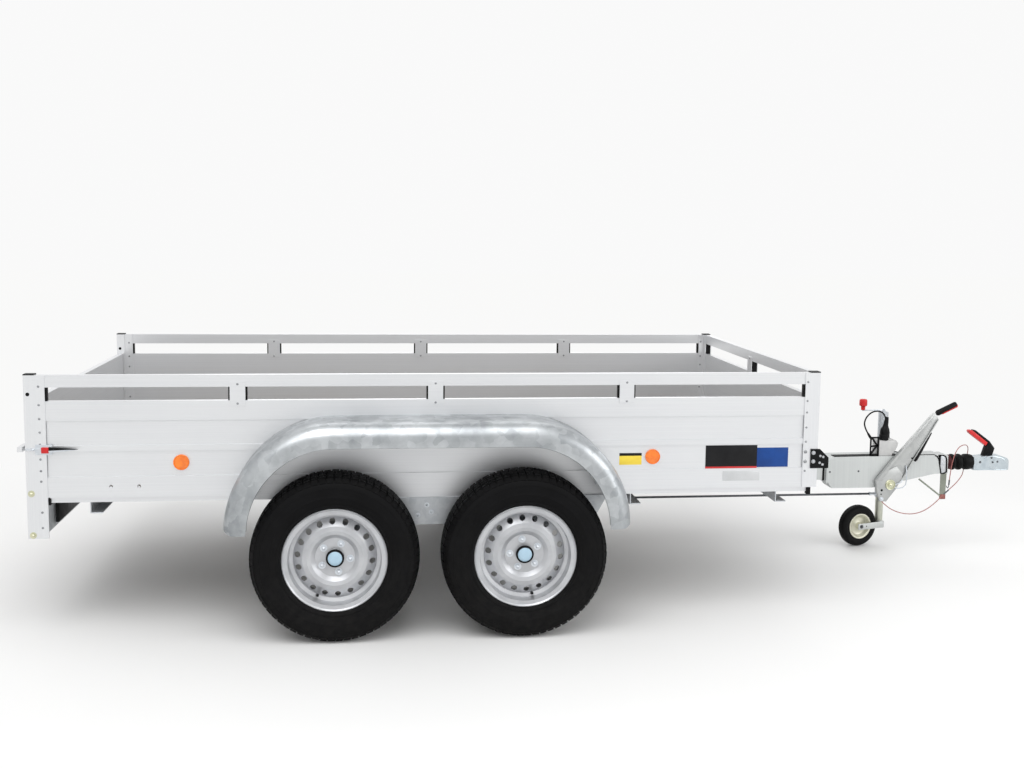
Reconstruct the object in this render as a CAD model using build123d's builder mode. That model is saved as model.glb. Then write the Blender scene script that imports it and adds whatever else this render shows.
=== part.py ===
"""Tandem utility trailer: open aluminium box with a top rail, central drawbar, overrun coupling.

Millimetres. +X points to the coupling, +Y to the trailer's left, +Z up. The origin is on the
ground, in the middle of the whole trailer's length and width.
"""

import math
import os

from build123d import *

os.makedirs("parts", exist_ok=True)

# ---------------------------------------------------------------- driving dimensions
BOX_LENGTH = 3060.0         # over the corner posts
BOX_WIDTH = 1580.0          # over the corner posts
REAR_FACE_X = -2156.5       # rear face of the rear posts, from the middle of the trailer
BOARD_TOP = 886.0           # top edge of the side boards above the ground
INNER_DEPTH = 350.0         # board top down to the loading floor
FLOOR_THICKNESS = 15.0
MEMBER_DEPTH = 68.0         # floor down to the top of the drawbar tube
POST_DROP = 170.0           # floor top down to the feet of the rear posts
RAIL_GAP = 52.0             # board top up to the rail
RAIL_HEIGHT = 46.0
LIP_HEIGHT = 19.0           # strips of the board's face, from its lower edge upwards
LOW_BAND = 80.0
LOW_FIELD = 97.0
MIDDLE_RIB = 22.0
HIGH_FIELD = 94.0
HIGH_BAND = 74.0

FLANGE = 4.0                # sheet of the post flanges
POST_TUBE = 38.0            # square tube part of a post
REAR_POST_WIDTH = 76.0      # along X, tube and flange together
FRONT_POST_WIDTH = 61.0
BOARD_DEPTH = 25.0          # thickness of the hollow boards
RECESS = 5.0                # how far the plain fields lie behind the bands
LIP_SETBACK = 8.0
FIT = 0.3                   # clearance round pieces that slide or turn near each other
RUNNING = 5.0               # clearance between moving pieces

WHEEL_RADIUS = 316.0
TYRE_WIDTH = 195.0
RIM_SEAT_RADIUS = 177.0
RIM_FLANGE_HEIGHT = 18.3    # above the seat
WELL_DEPTH = 17.0           # of the rim, below the seat
RIM_SHEET = 4.0
RIM_HALF_WIDTH = 78.0
WHEEL_GAP = 22.5            # tyre to the side of the box
REAR_AXLE_FROM_REAR = 1142.0
AXLE_SPACING = 712.0
WHEEL_OFFSET = 30.0         # mounting face outboard of the wheel's middle
HOLE_COUNT = 18
HOLE_RADIUS = 11.0
HOLE_INSET = 21.0           # middle of the disc's holes to the rim's well
HOLE_START = 4.0            # degrees off the horizontal
BOLT_COUNT = 5
BOLT_CIRCLE_RADIUS = 56.0
STUB_RADIUS = 17.5

# ---------------------------------------------------------------- derived places
RIM_FLANGE_RADIUS = RIM_SEAT_RADIUS + RIM_FLANGE_HEIGHT
WELL_RADIUS = RIM_SEAT_RADIUS - WELL_DEPTH
HOLE_CIRCLE_RADIUS = WELL_RADIUS - HOLE_INSET
HALF_WIDTH = BOX_WIDTH / 2
UPPER_FIELD_TOP = BOARD_TOP - HIGH_BAND
RIB_TOP = UPPER_FIELD_TOP - HIGH_FIELD
LOWER_FIELD_TOP = RIB_TOP - MIDDLE_RIB
BAND_TOP = LOWER_FIELD_TOP - LOW_FIELD
LIP_TOP = BAND_TOP - LOW_BAND
LIP_BOTTOM = LIP_TOP - LIP_HEIGHT
RAIL_LOW = BOARD_TOP + RAIL_GAP
POST_TOP = RAIL_LOW + RAIL_HEIGHT
FRONT_FACE_X = REAR_FACE_X + BOX_LENGTH
FLOOR_TOP = BOARD_TOP - INNER_DEPTH
FLOOR_BOTTOM = FLOOR_TOP - FLOOR_THICKNESS
DRAW_TUBE_TOP = FLOOR_BOTTOM - MEMBER_DEPTH
REAR_POST_BOTTOM = FLOOR_TOP - POST_DROP
BAND_FACE = HALF_WIDTH - FLANGE
RECESS_FACE = BAND_FACE - RECESS
BOARD_INNER = BAND_FACE - BOARD_DEPTH
POST_INNER = BOARD_INNER - FLANGE
REAR_WHEEL_X = REAR_FACE_X + REAR_AXLE_FROM_REAR
FRONT_WHEEL_X = REAR_WHEEL_X + AXLE_SPACING
WHEEL_Y = HALF_WIDTH + WHEEL_GAP + TYRE_WIDTH / 2
SIDES = {"right": -1, "left": 1}
AXLES = {"rear": REAR_WHEEL_X, "front": FRONT_WHEEL_X}


def save(part, label):
    """Label one finished piece and write its STEP file."""
    part.label = label
    export_step(part, f"parts/{label}.step")


def box_between(low, high):
    """A box given by its lowest and highest corners, for use outside builders."""
    size = [h - l for l, h in zip(low, high)]
    centre = [(h + l) / 2 for l, h in zip(low, high)]
    return Pos(*centre) * Box(*size)


def add_box(low, high, mode=Mode.ADD):
    """Add a box given by its lowest and highest corners to the current part."""
    size = [h - l for l, h in zip(low, high)]
    centre = [(h + l) / 2 for l, h in zip(low, high)]
    with Locations(tuple(centre)):
        Box(*size, mode=mode)


# ---------------------------------------------------------------- side and front boards
# height of each step of the board's outer face, and how far it lies behind the band face
BAND_STEPS = (
    # low z, high z, set back
    (LIP_BOTTOM, LIP_TOP, LIP_SETBACK),
    (LIP_TOP, BAND_TOP, 0.0),
    (BAND_TOP, LOWER_FIELD_TOP, RECESS),
    (LOWER_FIELD_TOP, RIB_TOP, 0.0),
    (RIB_TOP, UPPER_FIELD_TOP, RECESS),
    (UPPER_FIELD_TOP, BOARD_TOP, 0.0),
)
HOLE_RISE = 41.5            # above the lip
HOLE_Z = LIP_TOP + HOLE_RISE
FIRST_HOLE = 304.0          # from the rear face
HOLE_PITCH = 102.7
SIDE_HOLES_X = (REAR_FACE_X + FIRST_HOLE, REAR_FACE_X + FIRST_HOLE + HOLE_PITCH)
SIDE_HOLE_RADIUS = 7.0


def board_outline(face):
    """Points of the board's section as (distance from the centre plane, z), outer face first."""
    points = []
    for low, high, back in BAND_STEPS:
        points.append((face - back, low))
        points.append((face - back, high))
    inner = face - BOARD_DEPTH
    return points + [(inner, BOARD_TOP), (inner, LIP_BOTTOM)]


BOARD_START_X = REAR_FACE_X + POST_TUBE + FIT
BOARD_END_X = FRONT_FACE_X - POST_TUBE - FIT
for side, sign in SIDES.items():
    with BuildPart() as side_wall:
        with BuildSketch(Plane.YZ.offset(BOARD_START_X)):
            with BuildLine():
                Polyline(*[(sign * y, z) for y, z in board_outline(BAND_FACE)], close=True)
            make_face()
        extrude(amount=BOARD_END_X - BOARD_START_X)
        for x in SIDE_HOLES_X:
            with Locations(Plane((x, sign * BAND_FACE, HOLE_Z), z_dir=(0, sign, 0))):
                Hole(SIDE_HOLE_RADIUS, depth=BOARD_DEPTH * 3)
    save(side_wall.part, f"side_wall_{side}")

FRONT_BAND_X = FRONT_FACE_X - FLANGE
FRONT_HALF = HALF_WIDTH - POST_TUBE - FIT
with BuildPart() as front_wall:
    with BuildSketch(Plane.XZ.offset(-FRONT_HALF)):
        with BuildLine():
            Polyline(*board_outline(FRONT_BAND_X), close=True)
        make_face()
    extrude(amount=2 * FRONT_HALF)
save(front_wall.part, "front_wall")

# ---------------------------------------------------------------- floor and frame members
TAILGATE_DEPTH = 25.0
TAILGATE_SETBACK = 4.0
TAILGATE_X = REAR_FACE_X + TAILGATE_SETBACK
FLOOR_REAR_X = TAILGATE_X + TAILGATE_DEPTH + RUNNING
FLOOR_FRONT_X = FRONT_BAND_X - BOARD_DEPTH
with BuildPart() as floor_panel:
    add_box((FLOOR_REAR_X, -BOARD_INNER, FLOOR_BOTTOM), (FLOOR_FRONT_X, BOARD_INNER, FLOOR_TOP))
    # cut away round each post: its flanges, its tube and the front post's flange across
    notches = (
        # rear x, front x, where the cut begins from the middle
        (REAR_FACE_X, REAR_FACE_X + REAR_POST_WIDTH, POST_INNER),
        (REAR_FACE_X, REAR_FACE_X + POST_TUBE, HALF_WIDTH - POST_TUBE),
        (FRONT_FACE_X - FRONT_POST_WIDTH, FRONT_FACE_X, POST_INNER),
        (FRONT_FACE_X - POST_TUBE, FRONT_FACE_X, HALF_WIDTH - POST_TUBE),
        (FLOOR_FRONT_X - FLANGE, FRONT_FACE_X, HALF_WIDTH - FRONT_POST_WIDTH),
    )
    for sign in SIDES.values():
        for rear, front, start in notches:
            ys = sorted((sign * start, sign * HALF_WIDTH))
            add_box((rear, ys[0], FLOOR_BOTTOM), (front, ys[1], FLOOR_TOP), Mode.SUBTRACT)
save(floor_panel.part, "floor_panel")

CARRIER_SETBACK = 5.0
CARRIER_WIDTH = 40.0
CARRIER_DROP = 60.0         # below the top of the drawbar tube
CARRIER_REAR_LEAD = 38.0    # ahead of the rear wheels
CARRIER_FRONT_LEAD = 351.0  # ahead of the front wheels
CARRIER_SLOPE = 60.0
CARRIER_OUTER = HALF_WIDTH - CARRIER_SETBACK
CARRIER_INNER = CARRIER_OUTER - CARRIER_WIDTH
CARRIER_BOTTOM = DRAW_TUBE_TOP - CARRIER_DROP
CARRIER_REAR_X = REAR_WHEEL_X + CARRIER_REAR_LEAD
CARRIER_FRONT_X = FRONT_WHEEL_X + CARRIER_FRONT_LEAD
DRAW_TUBE = 80.0
MEMBER_WIDTH = 45.0
# rear faces of the members, from the rear face of the posts
MEMBER_PLACES = (
    220.0, REAR_WHEEL_X - REAR_FACE_X - 382.0, FRONT_WHEEL_X - REAR_FACE_X - 294.0,
    FRONT_WHEEL_X - REAR_FACE_X + 446.0, BOX_LENGTH - 160.0,
)
with BuildPart() as frame_members:
    for place in MEMBER_PLACES:
        x = REAR_FACE_X + place
        beside_carrier = CARRIER_REAR_X - MEMBER_WIDTH < x < CARRIER_FRONT_X
        reach = CARRIER_INNER if beside_carrier else BOARD_INNER
        add_box((x, -reach, DRAW_TUBE_TOP), (x + MEMBER_WIDTH, reach, FLOOR_BOTTOM))
        add_box((x + FLANGE, -reach, DRAW_TUBE_TOP + FLANGE), (x + MEMBER_WIDTH, reach, FLOOR_BOTTOM - FLANGE),
                Mode.SUBTRACT)
save(frame_members.part, "frame_members")


# ---------------------------------------------------------------- corner posts
def post(x_face, x_dir, width, bottom, with_front_flange):
    """Both posts of one end: a square tube with flanges that clasp the board's end."""
    solids = []
    for sign in SIDES.values():
        x_tube = x_face + x_dir * POST_TUBE
        x_end = x_face + x_dir * width
        xs = sorted((x_face, x_tube))
        xf = sorted((x_tube, x_end))
        y_out = sign * HALF_WIDTH
        y_in = sign * (HALF_WIDTH - POST_TUBE)
        ys = sorted((y_out, y_in))
        body = box_between((xs[0], ys[0], bottom), (xs[1], ys[1], POST_TOP))
        outer = sorted((y_out, sign * BAND_FACE))
        body += box_between((xf[0], outer[0], bottom), (xf[1], outer[1], POST_TOP))
        inner = sorted((sign * BOARD_INNER, sign * POST_INNER))
        body += box_between((xf[0], inner[0], FLOOR_TOP), (xf[1], inner[1], POST_TOP))
        if with_front_flange:
            yf = sorted((y_in, sign * (HALF_WIDTH - width)))
            body += box_between((x_face - FLANGE, yf[0], bottom), (x_face, yf[1], POST_TOP))
            x_back = FLOOR_FRONT_X
            body += box_between((x_back - FLANGE, yf[0], FLOOR_TOP), (x_back, yf[1], POST_TOP))
        solids.append(body)
    return Compound(children=solids)


rear_posts = post(REAR_FACE_X, 1, REAR_POST_WIDTH, REAR_POST_BOTTOM, False)
save(rear_posts, "rear_posts")
FRONT_POST_BOTTOM = LIP_TOP
front_posts = post(FRONT_FACE_X, -1, FRONT_POST_WIDTH, FRONT_POST_BOTTOM, True)
save(front_posts, "front_posts")

CAP_THICKNESS = 4.0
SPACER_OUT = 6.0            # black spacer showing beside a bracket or post
BRACKET_WIDTH = 58.0
BRACKET_PLATE = 3.0
BRACKET_LAP = 20.0          # over the board below and the rail above
BRACKET_PLACES = (775.0, BOX_LENGTH / 2 - 8.0, BOX_LENGTH - 788.0)
BRACKET_LOW = BOARD_TOP - BRACKET_LAP
BRACKET_HIGH = RAIL_LOW + BRACKET_LAP - 2.0
SPACER_SETBACK = 3.0        # of the black spacers, behind the board's faces

# ---------------------------------------------------------------- top rails
with BuildPart() as top_rails:
    for sign in SIDES.values():
        ys = sorted((sign * BOARD_INNER, sign * BAND_FACE))
        add_box((BOARD_START_X, ys[0], RAIL_LOW), (BOARD_END_X, ys[1], POST_TOP))
    add_box((FLOOR_FRONT_X, -FRONT_HALF, RAIL_LOW), (FRONT_BAND_X, FRONT_HALF, POST_TOP))
save(top_rails.part, "top_rails")

with BuildPart() as rail_brackets:
    for sign in SIDES.values():
        for place in BRACKET_PLACES:
            x = REAR_FACE_X + place
            for face, out in ((BAND_FACE, 1), (BOARD_INNER, -1)):
                ys = sorted((sign * face, sign * (face + out * BRACKET_PLATE)))
                add_box((x - BRACKET_WIDTH / 2, ys[0], BRACKET_LOW),
                        (x + BRACKET_WIDTH / 2, ys[1], BRACKET_HIGH))
    for face, out in ((FRONT_BAND_X, 1), (FLOOR_FRONT_X, -1)):
        xs = sorted((face, face + out * BRACKET_PLATE))
        add_box((xs[0], -BRACKET_WIDTH / 2, BRACKET_LOW), (xs[1], BRACKET_WIDTH / 2, BRACKET_HIGH))
save(rail_brackets.part, "rail_brackets")

with BuildPart() as black_plugs:
    for sign in SIDES.values():
        ys = sorted((sign * (BOARD_INNER + SPACER_SETBACK), sign * (BAND_FACE - SPACER_SETBACK)))
        for place in BRACKET_PLACES:
            x = REAR_FACE_X + place
            half = BRACKET_WIDTH / 2 + SPACER_OUT
            add_box((x - half, ys[0], BOARD_TOP), (x + half, ys[1], RAIL_LOW))
        add_box((BOARD_START_X, ys[0], BOARD_TOP),
                (REAR_FACE_X + REAR_POST_WIDTH + SPACER_OUT, ys[1], RAIL_LOW))
        add_box((FRONT_FACE_X - FRONT_POST_WIDTH - SPACER_OUT, ys[0], BOARD_TOP),
                (BOARD_END_X, ys[1], RAIL_LOW))
        for x in (REAR_FACE_X, FRONT_FACE_X - POST_TUBE):
            yc = sorted((sign * HALF_WIDTH, sign * (HALF_WIDTH - POST_TUBE)))
            add_box((x, yc[0], POST_TOP), (x + POST_TUBE, yc[1], POST_TOP + CAP_THICKNESS))
        yq = sorted((sign * FRONT_HALF, sign * (HALF_WIDTH - FRONT_POST_WIDTH - SPACER_OUT)))
        add_box((FLOOR_FRONT_X + SPACER_SETBACK, yq[0], BOARD_TOP),
                (FRONT_BAND_X - SPACER_SETBACK, yq[1], RAIL_LOW))
    half = BRACKET_WIDTH / 2 + SPACER_OUT
    add_box((FLOOR_FRONT_X + SPACER_SETBACK, -half, BOARD_TOP),
            (FRONT_BAND_X - SPACER_SETBACK, half, RAIL_LOW))
save(black_plugs.part, "black_plugs")

# ---------------------------------------------------------------- tailgate
HINGE_RISE = 7.0            # above the floor's underside
HINGE_OUT = 10.0            # behind the rear face
HINGE_Z = FLOOR_BOTTOM + HINGE_RISE
HINGE_X = REAR_FACE_X - HINGE_OUT
HINGE_RADIUS = 7.0
TAILGATE_HALF = HALF_WIDTH - POST_TUBE - RUNNING
TAILGATE_GAP = 1.0
TAILGATE_BOTTOM = FLOOR_TOP + TAILGATE_GAP
with BuildPart() as tailgate:
    with BuildSketch(Plane.XZ.offset(-TAILGATE_HALF)):
        with BuildLine():
            steps = [(TAILGATE_X + (RECESS if b else 0.0), z)
                     for lo, hi, b in BAND_STEPS if lo >= BAND_TOP for z in (lo, hi)]
            Polyline((TAILGATE_X, TAILGATE_BOTTOM), (TAILGATE_X, BAND_TOP), *steps,
                     (TAILGATE_X + TAILGATE_DEPTH, BOARD_TOP),
                     (TAILGATE_X + TAILGATE_DEPTH, TAILGATE_BOTTOM), close=True)
        make_face()
    extrude(amount=2 * TAILGATE_HALF)
save(tailgate.part, "tailgate")

# rear panel that carries the lamps, between the posts and below the floor
PANEL_SETBACK = 10.0
PANEL_DEPTH = 40.0
PANEL_DROP = 16.0           # below the floor's underside
PANEL_EDGE = 12.0           # above and below a lamp's opening
LAMP_WIDTH = 330.0
LAMP_FROM_SIDE = 190.0
LAMP_FIT = 0.5
LAMP_PROUD = 4.0            # behind the panel
LAMP_BACK = 12.0            # ahead of the panel
PANEL_X = REAR_FACE_X + PANEL_SETBACK
PANEL_TOP = FLOOR_BOTTOM - PANEL_DROP
PANEL_HALF = HALF_WIDTH - POST_TUBE
LAMP_OUTER = HALF_WIDTH - LAMP_FROM_SIDE
LAMP_INNER = LAMP_OUTER - LAMP_WIDTH
LAMP_LOW = REAR_POST_BOTTOM + PANEL_EDGE
LAMP_HIGH = PANEL_TOP - PANEL_EDGE
with BuildPart() as rear_panel:
    add_box((PANEL_X, -PANEL_HALF, REAR_POST_BOTTOM), (PANEL_X + PANEL_DEPTH, PANEL_HALF, PANEL_TOP))
    for sign in SIDES.values():
        ys = sorted((sign * LAMP_OUTER, sign * LAMP_INNER))
        add_box((PANEL_X, ys[0], LAMP_LOW), (PANEL_X + PANEL_DEPTH, ys[1], LAMP_HIGH), Mode.SUBTRACT)
save(rear_panel.part, "rear_panel")

with BuildPart() as tail_lamps:
    for sign in SIDES.values():
        ys = sorted((sign * (LAMP_OUTER - LAMP_FIT), sign * (LAMP_INNER + LAMP_FIT)))
        add_box((PANEL_X - LAMP_PROUD, ys[0], LAMP_LOW + LAMP_FIT),
                (PANEL_X + PANEL_DEPTH + LAMP_BACK, ys[1], LAMP_HIGH - LAMP_FIT))
save(tail_lamps.part, "tail_lamps")

HINGE_INSET = 130.0         # outer hinges to the outside of the posts
HINGE_PLACES = (HINGE_INSET - HALF_WIDTH, 0.0, HALF_WIDTH - HINGE_INSET)
HINGE_HALF = 40.0
HINGE_PIN = 4.0
STRAP = 5.0                 # sheet of the hinge's fixed straps
STRAP_FOOT = 30.0           # their lowest edge below the panel's top
STRAP_LEDGE = 10.0
LEAF_SHEET = 6.0
LEAF_LOW = HINGE_Z + 17.0
LEAF_MIDDLE = HINGE_Z + 32.0
LEAF_HIGH = HINGE_Z + 47.0
with BuildPart() as hinge_knuckles:
    for y in HINGE_PLACES:
        for end in (-1, 1):
            yc = y + end * (HINGE_HALF * 0.75)
            with Locations(Plane((HINGE_X, yc, HINGE_Z), z_dir=(0, 1, 0))):
                Cylinder(HINGE_RADIUS, HINGE_HALF / 2)
            add_box((HINGE_X - HINGE_RADIUS, yc - HINGE_HALF / 4, PANEL_TOP - STRAP_FOOT),
                    (HINGE_X - HINGE_RADIUS + STRAP, yc + HINGE_HALF / 4, HINGE_Z))
            add_box((HINGE_X - HINGE_RADIUS, yc - HINGE_HALF / 4, PANEL_TOP - STRAP_FOOT),
                    (PANEL_X, yc + HINGE_HALF / 4, PANEL_TOP - STRAP_FOOT + STRAP_LEDGE))
        with Locations(Plane((HINGE_X, y, HINGE_Z), z_dir=(0, 1, 0))):
            Cylinder(HINGE_PIN, 2 * HINGE_HALF)
save(hinge_knuckles.part, "hinge_knuckles")

with BuildPart() as tailgate_leaves:
    for y in HINGE_PLACES:
        half = HINGE_HALF / 2 - FIT
        with Locations(Plane((HINGE_X, y, HINGE_Z), z_dir=(0, 1, 0))):
            Cylinder(HINGE_RADIUS, 2 * half)
        add_box((HINGE_X - LEAF_SHEET / 2, y - half, HINGE_Z),
                (HINGE_X + LEAF_SHEET / 2, y + half, LEAF_MIDDLE))
        add_box((HINGE_X - LEAF_SHEET / 2, y - half, LEAF_LOW), (TAILGATE_X, y + half, LEAF_HIGH))
        with Locations(Plane((HINGE_X, y, HINGE_Z), z_dir=(0, 1, 0))):
            Cylinder(HINGE_PIN + FIT, 2 * HINGE_HALF, mode=Mode.SUBTRACT)
save(tailgate_leaves.part, "tailgate_leaves")

# ---------------------------------------------------------------- tailgate latches
LATCH_RISE = 10.0           # above the lower edge of the middle rib
LATCH_Z = LOWER_FIELD_TOP + LATCH_RISE
LATCH_BAR = (2.0, 60.0, 5.0, 4.0)       # rear end, front end, thickness, half height
LATCH_BLOCK = (40.0, 92.0, 14.0, 16.0)
LATCH_TIP = 102.0           # length of the pointed end
TIP_OUT = 4.0               # the pointed end off the post
TIP_THICKNESS = 8.0
TIP_HALF = 13.0
with BuildPart() as side_latches:
    for sign in SIDES.values():
        for rear, front, thickness, half in (LATCH_BAR, LATCH_BLOCK):
            ys = sorted((sign * HALF_WIDTH, sign * (HALF_WIDTH + thickness)))
            add_box((REAR_FACE_X + rear, ys[0], LATCH_Z - half), (REAR_FACE_X + front, ys[1], LATCH_Z + half))
        tip_x = REAR_FACE_X + LATCH_BLOCK[1] - 2.0
        with BuildSketch(Plane.XZ.offset(-sign * (HALF_WIDTH + TIP_OUT))):
            with BuildLine():
                Polyline((tip_x, LATCH_Z - TIP_HALF), (tip_x + LATCH_TIP, LATCH_Z),
                         (tip_x, LATCH_Z + TIP_HALF), close=True)
            make_face()
        extrude(amount=-sign * TIP_THICKNESS)
save(side_latches.part, "side_latches")

CATCH_LENGTH = 40.0         # of the catch along the tailgate
CATCH_REAR = 28.5
CATCH_FRONT = 10.0
CATCH_HALF = 9.0
CATCH_LAP = 2.0             # past the outside of the post, and of the foot behind the catch
CATCH_FOOT = 30.0

with BuildPart() as tailgate_catches:
    for sign in SIDES.values():
        inner = TAILGATE_HALF - CATCH_LENGTH
        ys = sorted((sign * inner, sign * (HALF_WIDTH + CATCH_LAP)))
        add_box((REAR_FACE_X - CATCH_REAR, ys[0], LATCH_Z - CATCH_HALF),
                (REAR_FACE_X - CATCH_FRONT, ys[1], LATCH_Z + CATCH_HALF))
        ys = sorted((sign * inner, sign * (inner + CATCH_FOOT)))
        add_box((REAR_FACE_X - CATCH_FRONT - CATCH_LAP, ys[0], LATCH_Z - CATCH_HALF),
                (TAILGATE_X, ys[1], LATCH_Z + CATCH_HALF))
save(tailgate_catches.part, "tailgate_catches")

# ---------------------------------------------------------------- side reflectors, front gussets
REFLECTOR_PLACES = (562.6, BOX_LENGTH - 677.0)
REFLECTOR_RISE = 51.0       # above the lower band
REFLECTOR_RADIUS = 30.0
REFLECTOR_DEPTH = 9.0
with BuildPart() as side_reflectors:
    for sign in SIDES.values():
        for place in REFLECTOR_PLACES:
            middle = (REAR_FACE_X + place, sign * RECESS_FACE, BAND_TOP + REFLECTOR_RISE)
            with BuildSketch(Plane(middle, z_dir=(0, sign, 0))):
                Circle(REFLECTOR_RADIUS)
            extrude(amount=REFLECTOR_DEPTH)
save(side_reflectors.part, "side_reflectors")

GUSSET = 5.0
GUSSET_LOW = BAND_TOP - 2.0
GUSSET_MIDDLE = BAND_TOP + 41.0
GUSSET_HIGH = BAND_TOP + 76.0
GUSSET_LAP = 30.0           # over the post's side
GUSSET_NOSE = 45.0          # ahead of the post
GUSSET_ACROSS = 70.0
with BuildPart() as corner_gussets:
    for sign in SIDES.values():
        with BuildSketch(Plane.XZ.offset(-sign * HALF_WIDTH)):
            with BuildLine():
                Polyline((FRONT_FACE_X - GUSSET_LAP, GUSSET_LOW), (FRONT_FACE_X - GUSSET_LAP, GUSSET_HIGH),
                         (FRONT_FACE_X + 8, GUSSET_HIGH), (FRONT_FACE_X + GUSSET_NOSE, GUSSET_MIDDLE),
                         (FRONT_FACE_X + GUSSET_NOSE, GUSSET_LOW), close=True)
            make_face()
        extrude(amount=-sign * GUSSET)
        ys = sorted((sign * (HALF_WIDTH - GUSSET_ACROSS), sign * (HALF_WIDTH + GUSSET)))
        add_box((FRONT_FACE_X, ys[0], GUSSET_LOW), (FRONT_FACE_X + GUSSET, ys[1], GUSSET_MIDDLE))
save(corner_gussets.part, "corner_gussets")

# ---------------------------------------------------------------- mudguards
GUARD_GAP = 90.0            # guard's arc over the tyre's radius
GUARD_RISE = 104.0          # centre of the arc above the wheel's
GUARD_COVER = 3.0           # past the tyre's outer side
GUARD_RADIUS = WHEEL_RADIUS + GUARD_GAP
GUARD_CENTRE_Z = WHEEL_RADIUS + GUARD_RISE
GUARD_OUTER = HALF_WIDTH + WHEEL_GAP + TYRE_WIDTH + GUARD_COVER
GUARD_INNER = BAND_FACE
GUARD_ROUND = 58.0
GUARD_SKIRT = 86.0
GUARD_SHEET = 2.5
GUARD_SLANT = 100.0         # how much higher the ends are at the box than at the outer edge


def guard_section(sign):
    """Sketch of the mudguard's bent sheet: y across, distance from the arc's centre upwards."""
    t = GUARD_SHEET
    top = GUARD_RADIUS
    y1 = GUARD_OUTER - GUARD_ROUND
    shoulder = top - GUARD_ROUND
    edge = top - GUARD_SKIRT
    c = math.cos(math.radians(45))
    r = GUARD_ROUND - t
    with BuildSketch() as section:
        with BuildLine():
            Line((sign * GUARD_INNER, top), (sign * y1, top))
            ThreePointArc((sign * y1, top), (sign * (y1 + GUARD_ROUND * c), shoulder + GUARD_ROUND * c),
                          (sign * GUARD_OUTER, shoulder))
            Line((sign * GUARD_OUTER, shoulder), (sign * GUARD_OUTER, edge))
            Line((sign * GUARD_OUTER, edge), (sign * (GUARD_OUTER - t), edge))
            Line((sign * (GUARD_OUTER - t), edge), (sign * (GUARD_OUTER - t), shoulder))
            ThreePointArc((sign * (GUARD_OUTER - t), shoulder), (sign * (y1 + r * c), shoulder + r * c),
                          (sign * y1, top - t))
            Line((sign * y1, top - t), (sign * GUARD_INNER, top - t))
            Line((sign * GUARD_INNER, top - t), (sign * GUARD_INNER, top))
        make_face()
    return section.sketch


for side, sign in SIDES.items():
    with BuildPart() as mudguard:
        for x, turn in ((REAR_WHEEL_X, -1), (FRONT_WHEEL_X, 1)):
            with BuildSketch(Plane((x, 0, GUARD_CENTRE_Z), x_dir=(0, 1, 0), z_dir=(1, 0, 0))):
                add(guard_section(sign))
            revolve(axis=Axis((x, 0, GUARD_CENTRE_Z), (0, turn, 0)), revolution_arc=90)
        with BuildSketch(Plane((REAR_WHEEL_X, 0, GUARD_CENTRE_Z), x_dir=(0, 1, 0), z_dir=(1, 0, 0))):
            add(guard_section(sign))
        extrude(amount=AXLE_SPACING)
        # the ends are cut on the slant, lowest at the outer tip
        for x in (REAR_WHEEL_X - GUARD_RADIUS, FRONT_WHEEL_X + GUARD_RADIUS):
            with BuildSketch(Plane.YZ.offset(x - 60)):
                with BuildLine():
                    Polyline((sign * (GUARD_OUTER + 5), GUARD_CENTRE_Z - 5),
                             (sign * (GUARD_INNER - 5), GUARD_CENTRE_Z + GUARD_SLANT),
                             (sign * (GUARD_INNER - 5), GUARD_CENTRE_Z - 5), close=True)
                make_face()
            extrude(amount=200, mode=Mode.SUBTRACT)
    save(mudguard.part, f"mudguard_{side}")

STAY_RISE = 168.0           # above the arc's centre
STAY_REACH = 90.0           # outboard of the posts
STAY_WIDTH = 60.0
STAY_SHEET = 4.0
STAY_DROP = 30.0            # of the stay's foot against the board
STAY_Z = GUARD_CENTRE_Z + STAY_RISE - 15.0
with BuildPart() as mudguard_stays:
    reach = math.sqrt((GUARD_RADIUS - GUARD_SHEET) ** 2 - (STAY_RISE + 15) ** 2) - 1.0
    for sign in SIDES.values():
        for x, away in ((REAR_WHEEL_X, -1), (FRONT_WHEEL_X, 1)):
            xs = sorted((x + away * reach, x + away * (reach - STAY_WIDTH)))
            ys = sorted((sign * BAND_FACE, sign * (HALF_WIDTH + STAY_REACH)))
            add_box((xs[0], ys[0], STAY_Z), (xs[1], ys[1], STAY_Z + STAY_SHEET))
            ys = sorted((sign * BAND_FACE, sign * (BAND_FACE + STAY_SHEET)))
            add_box((xs[0], ys[0], STAY_Z - STAY_DROP), (xs[1], ys[1], STAY_Z + STAY_SHEET))
save(mudguard_stays.part, "mudguard_stays")

# ---------------------------------------------------------------- axles and their carriers
with BuildPart() as axle_carriers:
    for sign in SIDES.values():
        with BuildSketch(Plane.XZ.offset(-sign * CARRIER_INNER)):
            with BuildLine():
                Polyline((CARRIER_REAR_X, LIP_BOTTOM), (CARRIER_REAR_X + CARRIER_SLOPE, CARRIER_BOTTOM),
                         (CARRIER_FRONT_X - CARRIER_SLOPE, CARRIER_BOTTOM), (CARRIER_FRONT_X, LIP_BOTTOM),
                         close=True)
            make_face()
        extrude(amount=-sign * (CARRIER_OUTER - CARRIER_INNER))
save(axle_carriers.part, "axle_carriers")

ARM_LEAD = 165.0
AXLE_TUBE = 70.0
AXLE_RISE = 62.0            # above the carriers' underside
AXLE_Z = CARRIER_BOTTOM + AXLE_RISE
ARM_WIDTH = 18.0
ARM_END = 34.0
STUB_SHORT = 10.0           # end of the stub short of the wheel's mounting face
STUB_END_Y = WHEEL_Y + WHEEL_OFFSET - STUB_SHORT
for name, x in AXLES.items():
    with BuildPart() as axle:
        add_box((x + ARM_LEAD - AXLE_TUBE / 2, -CARRIER_INNER, AXLE_Z - AXLE_TUBE / 2),
                (x + ARM_LEAD + AXLE_TUBE / 2, CARRIER_INNER, AXLE_Z + AXLE_TUBE / 2))
    save(axle.part, f"axle_{name}")

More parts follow.
